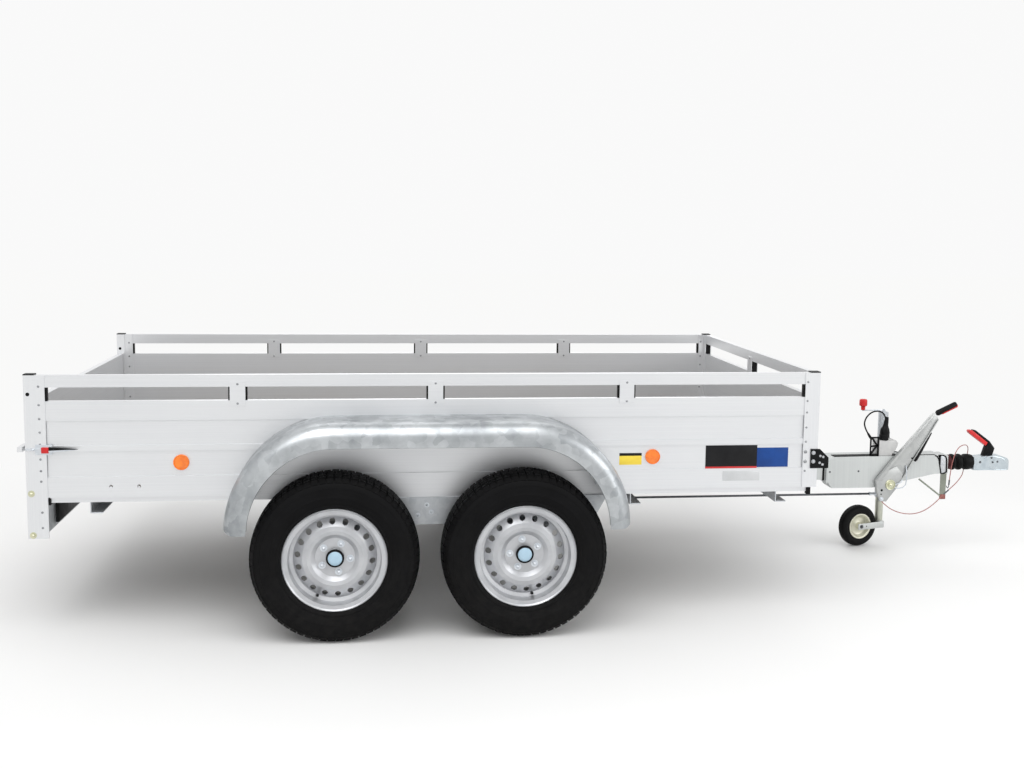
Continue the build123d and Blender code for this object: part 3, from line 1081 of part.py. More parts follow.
with BuildPart() as plug_holder:
    with BuildSketch(Plane.XZ.offset(BAR_HALF)):
        with BuildLine():
            Polyline(*[(HOLDER_REAR_X + dx, BAR_TOP + dz) for dx, dz in HOLDER_OUTLINE], close=True)
        make_face()
    extrude(amount=-HOLDER_DEPTH)
    add_box((BRACKET_REAR_X, -BAR_HALF, BAR_TOP - 2), (HOLDER_REAR_X, BRACKET_SHEET - BAR_HALF, BRACKET_TOP))
    with BuildSketch(Plane.XZ.offset(-BAR_HALF)):
        with BuildLine():
            Polyline((BAR_REAR_X, BAR_TOP), (BAR_FRONT_X, NOSE_TOP), (BAR_FRONT_X, NOSE_BOTTOM),
                     (BAR_REAR_X, NOSE_BOTTOM), close=True)
        make_face()
    extrude(amount=2 * BAR_HALF, mode=Mode.SUBTRACT)
    with BuildSketch(Plane(GLAND_START, z_dir=GLAND_DIR)):
        Circle(GLAND_RADIUS)
    extrude(amount=GLAND_LENGTH)
save(plug_holder.part, "plug_holder")

PLUG_RADIUS = 21.5
PLUG_NECK = 7.0
PLUG_END = PLUG_CABLE_POINTS[0]
PLUG_LEAN = 10.0            # of the plug, back towards the trailer at its foot
PLUG_START = Vector(PLUG_END.X - PLUG_LEAN, PLUG_END.Y, HOLDER_TOP)
PLUG_SHOULDER = Vector(PLUG_END.X - PLUG_LEAN / 2, PLUG_END.Y, HOLDER_TOP + 56)
with BuildPart() as plug:
    with BuildSketch(Plane(PLUG_START, z_dir=(0, 0, 1))):
        Circle(PLUG_RADIUS)
    with BuildSketch(Plane(PLUG_SHOULDER, z_dir=(0, 0, 1))):
        Circle(PLUG_RADIUS - 2)
    loft()
    with BuildSketch(Plane(PLUG_SHOULDER, z_dir=(0, 0, 1))):
        Circle(PLUG_RADIUS - 5)
    with BuildSketch(Plane(PLUG_END, z_dir=(0, 0, 1))):
        Circle(PLUG_NECK)
    loft()
save(plug.part, "plug")


def cord(name, points, diameter):
    """A cord's tube along straight runs joined by tangent arcs, each as large as its runs allow."""
    radii = []
    for before, here, after in zip(points, points[1:], points[2:]):
        turn = (here - before).get_angle(after - here)
        shorter = min((here - before).length, (after - here).length)
        radii.append(0.45 * shorter / math.tan(math.radians(turn / 2)))
    print(name, "radii", [round(r, 1) for r in radii])
    with BuildPart() as tube:
        with BuildLine() as route:
            FilletPolyline(*points, radius=radii)
        with BuildSketch(Plane(points[0], z_dir=points[1] - points[0])):
            Circle(diameter / 2)
        sweep(path=route.line)
    length = sum(edge.length for edge in route.line.edges())
    ratio = tube.part.volume / (math.pi * diameter ** 2 / 4 * length)
    print(name, "length", round(length, 1), "volume ratio", round(ratio, 5))
    save(tube.part, name)


PLUG_CABLE_DIAMETER = 7.0
cord("plug_cable", PLUG_CABLE_POINTS, PLUG_CABLE_DIAMETER)

BREAKAWAY_DIAMETER = 4.0
BREAKAWAY_POINTS = on_beam((
    (240, -77, -212), (262, -80, -234), (300, -84, -257), (348, -86, -271), (400, -86, -273), (448, -84, -260),
    (494, -80, -232), (536, -74, -196), (576, -68, -162), (616, -58, -134), (652, -38, -106), (678, -4, -94),
    (700, 32, -78), (718, 54, -46), (730, 57, -10), (724, 44, 20), (698, 14, 38), (666, -14, 44),
    (632, -38, 38), (606, -54, 12), (592, -60, -28), (584, -62, -72), (580, -62, -120),
))
cord("breakaway_cable", BREAKAWAY_POINTS, BREAKAWAY_DIAMETER)
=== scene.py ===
"""Dresses the tandem axle utility trailer: finishes, fasteners, tyres, coupling gear, cords, floor and light.

The scene is in metres, in the frame of the solids: +X to the coupling, +Y to the trailer's left, +Z up, origin
on the ground. Shapes are built in millimetres: X ahead of the rear posts' rear face, Y from the middle plane to
the left, Z above the ground.
"""

import logging
import math
from dataclasses import dataclass
from enum import Enum
from typing import Iterable, Optional, Sequence, Union

import bmesh
import bpy
from mathutils import Matrix, Vector

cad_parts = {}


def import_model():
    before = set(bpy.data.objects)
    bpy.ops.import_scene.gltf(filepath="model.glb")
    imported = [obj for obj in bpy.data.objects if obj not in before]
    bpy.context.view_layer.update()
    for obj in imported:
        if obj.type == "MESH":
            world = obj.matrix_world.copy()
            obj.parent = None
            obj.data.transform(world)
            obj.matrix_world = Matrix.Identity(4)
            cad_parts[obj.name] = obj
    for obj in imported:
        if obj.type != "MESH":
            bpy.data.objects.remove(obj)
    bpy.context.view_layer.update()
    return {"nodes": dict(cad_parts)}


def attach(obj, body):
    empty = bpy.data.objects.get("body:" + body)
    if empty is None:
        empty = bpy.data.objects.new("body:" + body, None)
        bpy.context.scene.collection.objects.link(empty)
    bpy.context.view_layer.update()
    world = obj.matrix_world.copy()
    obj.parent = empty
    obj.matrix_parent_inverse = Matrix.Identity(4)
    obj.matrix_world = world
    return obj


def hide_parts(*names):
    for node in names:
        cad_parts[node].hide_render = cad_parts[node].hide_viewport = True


log = logging.getLogger("trailer")

Point = tuple[float, float, float]
Pair = tuple[float, float]
Colour = tuple[float, float, float]
Value = Union[float, int, bool, str, Sequence[float], bpy.types.NodeSocket, bpy.types.ID]

CHASSIS = "chassis"
SIDES = (-1, 1)             # the trailer's right, its left
REAR_FACE_X = -2.1565
HALF_WIDTH = 790.0
BAND_FACE = 786.0
RECESS_FACE = 781.0
INNER_FACE = 757.0
BEAM_SIDE = 50.0
BEVEL_FROM = math.radians(30.0)
FORWARD: Point = (1.0, 0.0, 0.0)
UPWARD: Point = (0.0, 0.0, 1.0)


def spot(x: float, y: float, z: float) -> Point:
    """A shape table's place, in metres."""
    return REAR_FACE_X + x / 1000.0, y / 1000.0, z / 1000.0


def from_rear(points: Iterable[Point]) -> list[Point]:
    """A shape table's places, in metres."""
    return [spot(*point) for point in points]


# ---------------------------------------------------------------- node helpers
class NodeSheet:
    """Adds nodes to one tree, left to right, and links them."""

    def __init__(self, tree: bpy.types.NodeTree) -> None:
        """Takes the material's, geometry or shader group's tree to fill."""
        self.tree = tree
        self.column = 0

    def add(self, kind: str, inputs: Optional[dict] = None, **settings: Value) -> bpy.types.Node:
        """Adds a node.

        Args:
            kind: the node's type name.
            inputs: socket name or index to a value or to another node's socket.
            settings: properties of the node itself.

        Returns:
            The new node.
        """
        node = self.tree.nodes.new(kind)
        node.location = (self.column * 180, 0)
        self.column += 1
        for name, value in settings.items():
            setattr(node, name, value)
        for name, value in (inputs or {}).items():
            self.feed(node.inputs[name], value)
        return node

    def feed(self, socket: bpy.types.NodeSocket, value: Value) -> None:
        """Links another socket to this one, or sets its value."""
        if isinstance(value, bpy.types.NodeSocket):
            self.tree.links.new(value, socket)
        else:
            socket.default_value = value

    def maths(self, operation: str, *values: Value, clamp: bool = False) -> bpy.types.NodeSocket:
        """Adds a Math node and returns its result socket."""
        return self.add("ShaderNodeMath", dict(enumerate(values)), operation=operation, use_clamp=clamp).outputs[0]

    def remap(self, value: Value, low: Value, high: Value, to_low: float, to_high: float) -> bpy.types.NodeSocket:
        """Maps a value's range to another, clamped, and returns the result socket."""
        return self.add("ShaderNodeMapRange", {0: value, 1: low, 2: high, 3: to_low, 4: to_high}).outputs[0]

    def mix(self, factor: Value, first: Value, second: Value) -> bpy.types.NodeSocket:
        """Mixes two numbers and returns the result socket."""
        return self.add("ShaderNodeMix", {0: factor, 2: first, 3: second}).outputs[0]

    def blend(self, factor: Value, first: Value, second: Value) -> bpy.types.NodeSocket:
        """Mixes two colours and returns the result socket."""
        return self.add("ShaderNodeMix", {0: factor, 6: first, 7: second}, data_type="RGBA").outputs[2]

    def place(self) -> bpy.types.NodeSocket:
        """The shaded point in the object's own frame."""
        return self.add("ShaderNodeTexCoord").outputs["Object"]

    def noise(self, place: Value, scale: Value, detail: float, roughness: float = 0.5) -> bpy.types.NodeSocket:
        """Adds a Noise texture and returns its grey result."""
        return self.add("ShaderNodeTexNoise", {"Vector": place, "Scale": scale, "Detail": detail,
                                               "Roughness": roughness}).outputs[0]

    def spread(self, noise: Value) -> bpy.types.NodeSocket:
        """Stretches a noise's middle values to the whole range."""
        return self.remap(noise, 0.3, 0.7, 0.0, 1.0)


def new_group(name: str, kind: str, inputs: Iterable[tuple], outputs: Iterable[tuple]) -> tuple:
    """Makes a node group with named sockets.

    Args:
        name: the group's name.
        kind: ShaderNodeTree or GeometryNodeTree.
        inputs: (socket name, socket type, default or None).
        outputs: (socket name, socket type).

    Returns:
        The tree, its sheet, its input node's outputs and its output node.
    """
    tree = bpy.data.node_groups.new(name, kind)
    for socket_name, socket_type, default in inputs:
        socket = tree.interface.new_socket(socket_name, in_out="INPUT", socket_type=socket_type)
        if default is not None:
            socket.default_value = default
    for socket_name, socket_type in outputs:
        tree.interface.new_socket(socket_name, in_out="OUTPUT", socket_type=socket_type)
    sheet = NodeSheet(tree)
    return tree, sheet, sheet.add("NodeGroupInput").outputs, sheet.add("NodeGroupOutput")


FLOAT, VECTOR = "NodeSocketFloat", "NodeSocketVector"
GEOMETRY, MATERIAL = "NodeSocketGeometry", "NodeSocketMaterial"
TEXTURE_RESULT = (("Factor", FLOAT), ("Height", FLOAT))


class SurfaceGroups:
    """The shader groups that the finishes share, each built once."""

    def __init__(self) -> None:
        """Builds all groups."""
        self.mottle = self._mottle()
        self.spangle = self._spangle()
        self.grain = self._grain()
        self.dust = self._dust()

    def _mottle(self) -> bpy.types.NodeTree:
        """Soft cloudy variation with a fine speckle for the bump."""
        tree, sheet, take, sink = new_group(
            "soft_mottle", "ShaderNodeTree", [("Scale", FLOAT, 6.0), ("Fine", FLOAT, 400.0)], TEXTURE_RESULT)
        place = sheet.place()
        sheet.feed(sink.inputs["Factor"], sheet.spread(sheet.noise(place, take["Scale"], 5.0)))
        sheet.feed(sink.inputs["Height"], sheet.noise(place, take["Fine"], 2.0))
        return tree

    def _spangle(self) -> bpy.types.NodeTree:
        """Crystal patches of hot-dip zinc, broken up by a cloud."""
        tree, sheet, take, sink = new_group(
            "zinc_spangle", "ShaderNodeTree", [("Scale", FLOAT, 60.0), ("Cloud", FLOAT, 0.5)], TEXTURE_RESULT)
        place = sheet.place()
        warp = sheet.add("ShaderNodeTexNoise", {"Vector": place, "Scale": 25.0, "Detail": 3.0})
        bent = sheet.add("ShaderNodeVectorMath", {0: warp.outputs["Color"], "Scale": 0.03}, operation="SCALE")
        moved = sheet.add("ShaderNodeVectorMath", {0: place, 1: bent.outputs[0]}, operation="ADD")
        cells = sheet.add("ShaderNodeTexVoronoi", {"Vector": moved.outputs[0], "Scale": take["Scale"]})
        grey = sheet.add("ShaderNodeSeparateColor", {0: cells.outputs["Color"]}).outputs[0]
        broad = sheet.spread(sheet.noise(place, 5.0, 6.0, 0.6))
        sheet.feed(sink.inputs["Factor"], sheet.mix(take["Cloud"], grey, broad))
        sheet.feed(sink.inputs["Height"], cells.outputs["Distance"])
        return tree

    def _grain(self) -> bpy.types.NodeTree:
        """Fine lines along one direction, as extrusion or brushing leaves them."""
        tree, sheet, take, sink = new_group(
            "drawn_grain", "ShaderNodeTree", [("Stretch", VECTOR, (2.0, 300.0, 300.0)), ("Cloud", FLOAT, 0.4)],
            TEXTURE_RESULT)
        place = sheet.place()
        stretched = sheet.add("ShaderNodeVectorMath", {0: place, 1: take["Stretch"]}, operation="MULTIPLY")
        lines = sheet.noise(stretched.outputs[0], 1.0, 3.0)
        broad = sheet.spread(sheet.noise(place, 1.7, 4.0))
        sheet.feed(sink.inputs["Factor"], sheet.mix(take["Cloud"], sheet.spread(lines), broad))
        sheet.feed(sink.inputs["Height"], lines)
        return tree

    def _dust(self) -> bpy.types.NodeTree:
        """Thin dust that lies on upward faces and gathers towards the ground."""
        tree, sheet, take, sink = new_group(
            "road_dust", "ShaderNodeTree", [("Amount", FLOAT, 0.3), ("Low", FLOAT, 0.0), ("High", FLOAT, 0.7)],
            [("Mask", FLOAT)])
        place = sheet.place()
        normal = sheet.add("ShaderNodeNewGeometry").outputs["Normal"]
        height, facing = (sheet.add("ShaderNodeSeparateXYZ", {0: v}).outputs["Z"] for v in (place, normal))
        near_ground = sheet.remap(height, take["Low"], take["High"], 1.0, 0.0)
        lying = sheet.maths("MAXIMUM", near_ground, sheet.remap(facing, 0.2, 1.0, 0.0, 0.5))
        specks = sheet.remap(sheet.noise(place, 35.0, 6.0, 0.7), 0.35, 0.75, 0.0, 1.0)
        broken = sheet.maths("MULTIPLY", lying, specks)
        sheet.feed(sink.inputs["Mask"], sheet.maths("MULTIPLY", broken, take["Amount"], clamp=True))
        return tree


class Pattern(Enum):
    """Which shared group breaks up a finish."""

    MOTTLE = "mottle"
    SPANGLE = "spangle"
    GRAIN_X = "grain along X"
    GRAIN_Y = "grain along Y"
    GRAIN_Z = "grain along Z"


GRAIN_STRETCH = {
    Pattern.GRAIN_X: (1.5, 320.0, 320.0),
    Pattern.GRAIN_Y: (320.0, 1.5, 320.0),
    Pattern.GRAIN_Z: (320.0, 320.0, 1.5),
}
DUST_COLOUR = (0.42, 0.39, 0.34, 1.0)
DUST_ROUGHNESS = 0.9
BUMP_DEPTH = 0.0004
COAT_ROUGHNESS = 0.08


@dataclass(frozen=True)
class Finish:
    """One surface finish: the record's slot, two colours that the pattern mixes, gloss, bump and dust."""

    name: str
    slot: str
    colour: Colour
    shade: Colour
    roughness: Pair
    metallic: float = 0.0
    pattern: Pattern = Pattern.MOTTLE
    scale: float = 8.0
    cloud: float = 0.5
    bump: float = 0.05
    dust: float = 0.0
    dust_high: float = 0.7
    coat: float = 0.0
    # painted glow: an emission strength that makes an unlit surface shine by its own colour
    painted_glow: float = 0.0
    specular: float = 0.5

    def material(self, groups: SurfaceGroups) -> bpy.types.Material:
        """Builds the node material.

        Args:
            groups: the shared shader groups.

        Returns:
            The new material.
        """
        material = bpy.data.materials.new(self.name)
        material.use_nodes = True
        material.node_tree.nodes.clear()
        sheet = NodeSheet(material.node_tree)
        texture = self._texture(sheet, groups)
        factor = texture.outputs["Factor"]
        colour = sheet.blend(factor, (*self.colour, 1.0), (*self.shade, 1.0))
        rough = sheet.remap(factor, 0.0, 1.0, *self.roughness)
        if self.dust:
            dust = sheet.add("ShaderNodeGroup", node_tree=groups.dust)
            dust.inputs["Amount"].default_value = self.dust
            dust.inputs["High"].default_value = self.dust_high
            mask = dust.outputs["Mask"]
            colour = sheet.blend(mask, colour, DUST_COLOUR)
            rough = sheet.mix(mask, rough, DUST_ROUGHNESS)
        bump = sheet.add("ShaderNodeBump", {"Height": texture.outputs["Height"], "Strength": self.bump,
                                            "Distance": BUMP_DEPTH})
        surface = sheet.add("ShaderNodeBsdfPrincipled", {
            "Base Color": colour, "Roughness": rough, "Normal": bump.outputs[0], "Metallic": self.metallic,
            "Coat Weight": self.coat, "Coat Roughness": COAT_ROUGHNESS, "Specular IOR Level": self.specular})
        # painted glow: the surface shines faintly by its own colour, though it is no lamp
        if self.painted_glow:
            sheet.feed(surface.inputs["Emission Color"], colour)
            surface.inputs["Emission Strength"].default_value = self.painted_glow
        sheet.add("ShaderNodeOutputMaterial", {"Surface": surface.outputs[0]})
        material.diffuse_color = (*self.colour, 1.0)
        return material

    def _texture(self, sheet: NodeSheet, groups: SurfaceGroups) -> bpy.types.Node:
        """Adds the shared group that this finish's pattern names."""
        if self.pattern is Pattern.MOTTLE:
            tree, values = groups.mottle, {"Scale": self.scale}
        elif self.pattern is Pattern.SPANGLE:
            tree, values = groups.spangle, {"Scale": self.scale, "Cloud": self.cloud}
        else:
            tree, values = groups.grain, {"Stretch": GRAIN_STRETCH[self.pattern], "Cloud": self.cloud}
        return sheet.add("ShaderNodeGroup", values, node_tree=tree)


ALUMINIUM, PLYWOOD = "anodised_aluminium", "film_faced_plywood"
STEEL, YELLOW_STEEL = "galvanised_steel", "zinc_yellow_steel"
PLASTIC, RED_PLASTIC, BLACK_RUBBER = "black_plastic", "red_plastic", "black_rubber"
RED_GLASS, AMBER_GLASS = "red_lens", "amber_lens"


class Paint(Enum):
    """Every finish on the trailer."""

    BOARD = Finish("anodised_board", ALUMINIUM, (0.78, 0.79, 0.80), (0.70, 0.71, 0.73), (0.30, 0.42), 0.75,
                   Pattern.GRAIN_X, cloud=0.6, bump=0.04)
    CROSS_BOARD = Finish("anodised_cross_board", ALUMINIUM, (0.78, 0.79, 0.80), (0.70, 0.71, 0.73),
                         (0.30, 0.42), 0.75, Pattern.GRAIN_Y, cloud=0.6, bump=0.04)
    POST = Finish("anodised_post", ALUMINIUM, (0.80, 0.81, 0.82), (0.71, 0.72, 0.74), (0.28, 0.40), 0.75,
                  Pattern.GRAIN_Z, cloud=0.6, bump=0.04)
    ZINC = Finish("galvanised", STEEL, (0.66, 0.68, 0.70), (0.50, 0.53, 0.56), (0.34, 0.50), 0.80,
                  Pattern.SPANGLE, scale=55.0, cloud=0.55, bump=0.10, dust=0.15)
    ZINC_BRIGHT = Finish("galvanised_bright", STEEL, (0.74, 0.77, 0.80), (0.56, 0.60, 0.65), (0.24, 0.40),
                         0.85, Pattern.SPANGLE, scale=70.0, cloud=0.6, bump=0.08, dust=0.08)
    ZINC_BLUE = Finish("blue_passivated", STEEL, (0.61, 0.67, 0.70), (0.46, 0.52, 0.56), (0.24, 0.38), 0.9,
                       scale=30.0, bump=0.08)
    ZINC_YELLOW = Finish("yellow_passivated", YELLOW_STEEL, (0.72, 0.70, 0.50), (0.58, 0.60, 0.46),
                         (0.26, 0.42), 0.85, scale=24.0, bump=0.06)
    RIVET = Finish("rivet_aluminium", ALUMINIUM, (0.34, 0.35, 0.36), (0.24, 0.25, 0.26), (0.30, 0.42), 0.7,
                   scale=60.0)
    RIM = Finish("wheel_silver", STEEL, (0.55, 0.56, 0.58), (0.44, 0.45, 0.47), (0.30, 0.40), 0.55,
                 scale=14.0, bump=0.03, dust=0.10)
    TYRE = Finish("tyre_rubber", "tyre_rubber", (0.003, 0.003, 0.0033), (0.006, 0.006, 0.0065), (0.55, 0.75),
                  scale=12.0, bump=0.25, dust=0.02, dust_high=0.5, specular=0.08)
    RUBBER = Finish("black_rubber", BLACK_RUBBER, (0.0025, 0.0025, 0.0025), (0.005, 0.005, 0.005),
                    (0.45, 0.62), scale=30.0, bump=0.15, specular=0.12)
    BLACK = Finish("black_plastic", PLASTIC, (0.003, 0.003, 0.0033), (0.006, 0.006, 0.0065), (0.38, 0.52),
                   scale=40.0, bump=0.20, specular=0.14)
    GUARD = Finish("guard_zinc", STEEL, (0.62, 0.645, 0.66), (0.20, 0.215, 0.23), (0.26, 0.46), 0.85,
                   Pattern.SPANGLE, scale=26.0, cloud=0.72, bump=0.12, dust=0.10)
    LEVER = Finish("lever_zinc", STEEL, (0.54, 0.55, 0.54), (0.36, 0.37, 0.37), (0.32, 0.52), 0.7,
                   Pattern.SPANGLE, scale=40.0, cloud=0.7, bump=0.10)
    DARK_RED = Finish("dark_red_rubber", BLACK_RUBBER, (0.060, 0.006, 0.007), (0.040, 0.004, 0.005),
                      (0.45, 0.60), scale=30.0, bump=0.15, specular=0.25)
    # dark steel for small parts; on the brake rod it is painted shade, for a rod that lies in shade under the beam
    PIT = Finish("shaded_steel", STEEL, (0.115, 0.120, 0.130), (0.070, 0.074, 0.082), (0.40, 0.55), 0.6,
                 scale=50.0)
    CASE = Finish("grey_casing", ALUMINIUM, (0.52, 0.52, 0.51), (0.45, 0.45, 0.45), (0.45, 0.60), scale=40.0,
                  bump=0.12)
    BEAM = Finish("drawbar_zinc", STEEL, (0.60, 0.62, 0.61), (0.50, 0.52, 0.52), (0.40, 0.55), 0.55,
                  Pattern.GRAIN_Z, cloud=0.5, bump=0.06, dust=0.10)
    STAY_RED = Finish("faded_red_sleeve", RED_PLASTIC, (0.27, 0.085, 0.07), (0.22, 0.075, 0.06), (0.45, 0.60),
                      scale=40.0)
    CREAM = Finish("cream_passivated", YELLOW_STEEL, (0.72, 0.70, 0.58), (0.60, 0.60, 0.48), (0.28, 0.42),
                   0.4, scale=30.0)
    LEG = Finish("leg_passivated", YELLOW_STEEL, (0.60, 0.60, 0.50), (0.46, 0.48, 0.42), (0.26, 0.42), 0.6,
                 scale=26.0, bump=0.06)
    STAY = Finish("olive_passivated", STEEL, (0.29, 0.31, 0.26), (0.23, 0.25, 0.21), (0.30, 0.45), 0.6,
                  scale=24.0, bump=0.06)
    RED = Finish("red_plastic", RED_PLASTIC, (0.62, 0.012, 0.012), (0.48, 0.008, 0.008), (0.30, 0.45),
                 scale=40.0, bump=0.08)
    RED_LENS = Finish("red_lens", RED_GLASS, (0.45, 0.006, 0.006), (0.32, 0.004, 0.004), (0.08, 0.14),
                      scale=40.0, coat=0.6)
    WHITE_LENS = Finish("clear_lens", RED_GLASS, (0.82, 0.82, 0.82), (0.70, 0.70, 0.71), (0.08, 0.14),
                        scale=40.0, coat=0.6)
    # painted glow: the amber lenses of the side reflectors and tail lamps shine faintly, though no lamp is lit in them
    AMBER = Finish("amber_lens", AMBER_GLASS, (0.90, 0.22, 0.006), (0.72, 0.14, 0.004), (0.08, 0.16),
                   scale=60.0, coat=0.6, painted_glow=0.10)
    PLYWOOD = Finish("film_faced_plywood", PLYWOOD, (0.075, 0.055, 0.040), (0.11, 0.085, 0.060), (0.38, 0.55),
                     pattern=Pattern.GRAIN_X, bump=0.2, dust=0.12, dust_high=0.6)
    CAP_BLUE = Finish("pale_blue_cap", "silver_paint", (0.42, 0.58, 0.70), (0.36, 0.52, 0.64), (0.30, 0.40),
                      scale=30.0)
    SIGN_BLACK = Finish("black_plate", PLASTIC, (0.005, 0.005, 0.006), (0.010, 0.010, 0.011), (0.30, 0.40),
                        scale=20.0, specular=0.2)
    SIGN_BLUE = Finish("blue_plate", PLASTIC, (0.010, 0.060, 0.26), (0.008, 0.045, 0.20), (0.30, 0.40),
                       scale=20.0, specular=0.25)
    SIGN_RED = Finish("red_strip", PLASTIC, (0.60, 0.03, 0.03), (0.50, 0.02, 0.02), (0.30, 0.40), scale=20.0)
    SIGN_YELLOW = Finish("yellow_label", PLASTIC, (0.86, 0.66, 0.06), (0.78, 0.58, 0.05), (0.35, 0.45),
                         scale=20.0)
    PLATE_STEEL = Finish("blank_data_plate", ALUMINIUM, (0.62, 0.63, 0.64), (0.55, 0.56, 0.57), (0.30, 0.42),
                         0.6, scale=20.0)
    RED_SHEATH = Finish("red_cable_sheath", "red_sheath", (0.36, 0.125, 0.11), (0.29, 0.10, 0.09),
                        (0.40, 0.55), scale=80.0)


# ---------------------------------------------------------------- repeated pieces
class Head(Enum):
    """Shapes of fastener heads."""

    DOME = "dome"
    HEX = "hex"
    DISC = "disc"


def head_tree(head: Head) -> bpy.types.NodeTree:
    """Tree that sets a head of unit radius on every point, scaled and turned by the point's attributes."""
    tree, sheet, take, sink = new_group(
        f"{head.value}_heads", "GeometryNodeTree",
        [("Geometry", GEOMETRY, None), ("Height", FLOAT, 0.4), ("Material", MATERIAL, None)], [("Geometry", GEOMETRY)])
    height = take["Height"]

    def raised(shape: bpy.types.Node, lift: Value) -> bpy.types.NodeSocket:
        """The shape moved up by the lift."""
        move = sheet.add("ShaderNodeCombineXYZ", {2: lift}).outputs[0]
        return sheet.add("GeometryNodeTransform", {"Geometry": shape.outputs[0], "Translation": move}).outputs[0]

    if head is Head.DOME:
        ball = sheet.add("GeometryNodeMeshUVSphere", {"Segments": 16, "Rings": 10, "Radius": 1.0}).outputs[0]
        flat = sheet.add("ShaderNodeCombineXYZ", {0: 1.0, 1: 1.0, 2: height}).outputs[0]
        shape = sheet.add("GeometryNodeTransform", {"Geometry": ball, "Scale": flat}).outputs[0]
    else:
        corners = 6 if head is Head.HEX else 24
        bar = sheet.add("GeometryNodeMeshCylinder", {"Vertices": corners, "Radius": 0.92, "Depth": height})
        shape = raised(bar, sheet.maths("MULTIPLY", height, 0.5))
    if head is Head.HEX:
        washer = sheet.add("GeometryNodeMeshCylinder", {"Vertices": 24, "Radius": 1.32, "Depth": 0.24}).outputs[0]
        crown = sheet.add("GeometryNodeMeshUVSphere", {"Segments": 12, "Rings": 8, "Radius": 0.72})
        joined = sheet.add("GeometryNodeJoinGeometry")
        for part in (shape, washer, raised(crown, sheet.maths("SUBTRACT", height, 0.35))):
            tree.links.new(part, joined.inputs[0])
        shape = joined.outputs[0]
    facing, size = (sheet.add("GeometryNodeInputNamedAttribute", {"Name": name}, data_type=kind).outputs[0]
                    for name, kind in (("facing", "FLOAT_VECTOR"), ("size", "FLOAT")))
    turned = sheet.add("FunctionNodeAlignRotationToVector", {"Vector": facing}, axis="Z").outputs[0]
    placed = sheet.add("GeometryNodeInstanceOnPoints", {
        "Points": take["Geometry"], "Instance": shape, "Rotation": turned, "Scale": size}).outputs[0]
    real = sheet.add("GeometryNodeRealizeInstances", {"Geometry": placed}).outputs[0]
    dressed = sheet.add("GeometryNodeSetMaterial", {"Geometry": real, "Material": take["Material"]})
    sheet.feed(sink.inputs["Geometry"], dressed.outputs[0])
    return tree


def block_ring_tree() -> bpy.types.NodeTree:
    """Tree that sets a ring of tread blocks about an axle along Y."""
    tree, sheet, take, sink = new_group(
        "tread_block_ring", "GeometryNodeTree",
        [("Geometry", GEOMETRY, None), ("Count", "NodeSocketInt", 60), ("Radius", FLOAT, 0.31), ("Offset", FLOAT, 0.0),
         ("Block", VECTOR, (0.02, 0.02, 0.01)), ("Tilt", FLOAT, 0.0), ("Start", FLOAT, 0.0),
         ("Centre", VECTOR, (0.0, 0.0, 0.0)), ("Material", MATERIAL, None)], [("Geometry", GEOMETRY)])

    def moved(shape: Value, **inputs: Value) -> bpy.types.NodeSocket:
        """The shape turned or moved."""
        return sheet.add("GeometryNodeTransform", {"Geometry": shape, **inputs}).outputs[0]

    ring = sheet.add("GeometryNodeMeshCircle", {"Vertices": take["Count"], "Radius": take["Radius"]}).outputs[0]
    block = sheet.add("GeometryNodeMeshCube", {"Size": take["Block"]}).outputs[0]
    leaning = moved(block, Rotation=sheet.add("ShaderNodeCombineXYZ", {1: take["Tilt"]}).outputs[0])
    place = sheet.add("GeometryNodeInputPosition").outputs[0]
    outward = sheet.add("FunctionNodeAlignRotationToVector", {"Vector": place}, axis="Z").outputs[0]
    settled = sheet.add("FunctionNodeAlignRotationToVector", {"Rotation": outward, "Vector": UPWARD},
                        axis="X", pivot_axis="Z").outputs[0]
    blocks = sheet.add("GeometryNodeInstanceOnPoints", {"Points": ring, "Instance": leaning,
                                                        "Rotation": settled}).outputs[0]
    real = sheet.add("GeometryNodeRealizeInstances", {"Geometry": blocks}).outputs[0]
    phase = sheet.maths("MULTIPLY", sheet.maths("DIVIDE", math.tau, take["Count"]), take["Start"])
    spin, shift = (sheet.add("ShaderNodeCombineXYZ", {2: v}).outputs[0] for v in (phase, take["Offset"]))
    spun = moved(real, Rotation=spin, Translation=shift)
    stood = moved(spun, Rotation=(-math.pi / 2, 0.0, 0.0), Translation=take["Centre"])
    dressed = sheet.add("GeometryNodeSetMaterial", {"Geometry": stood, "Material": take["Material"]}).outputs[0]
    sheet.feed(sink.inputs["Geometry"], dressed)
    return tree


def put(name: str, data: bpy.types.ID) -> bpy.types.Object:
    """Links a new object with that data to the scene."""
    item = bpy.data.objects.new(name, data)
    bpy.context.scene.collection.objects.link(item)
    return item


def smooth(mesh: bpy.types.Mesh, angle: float) -> None:
    """Shades a mesh smooth, apart from edges sharper than that angle in degrees."""
    mesh.polygons.foreach_set("use_smooth", [True] * len(mesh.polygons))
    mesh.set_sharp_from_angle(angle=math.radians(angle))


def settle(piece: bpy.types.Object, body: str, replaces: Sequence[str] = ()) -> None:
    """Makes a piece ride on its body and stand for its solids, and reports it."""
    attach(piece, body)
    if replaces:
        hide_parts(*replaces)
    log.info("%s on %s", piece.name, body)


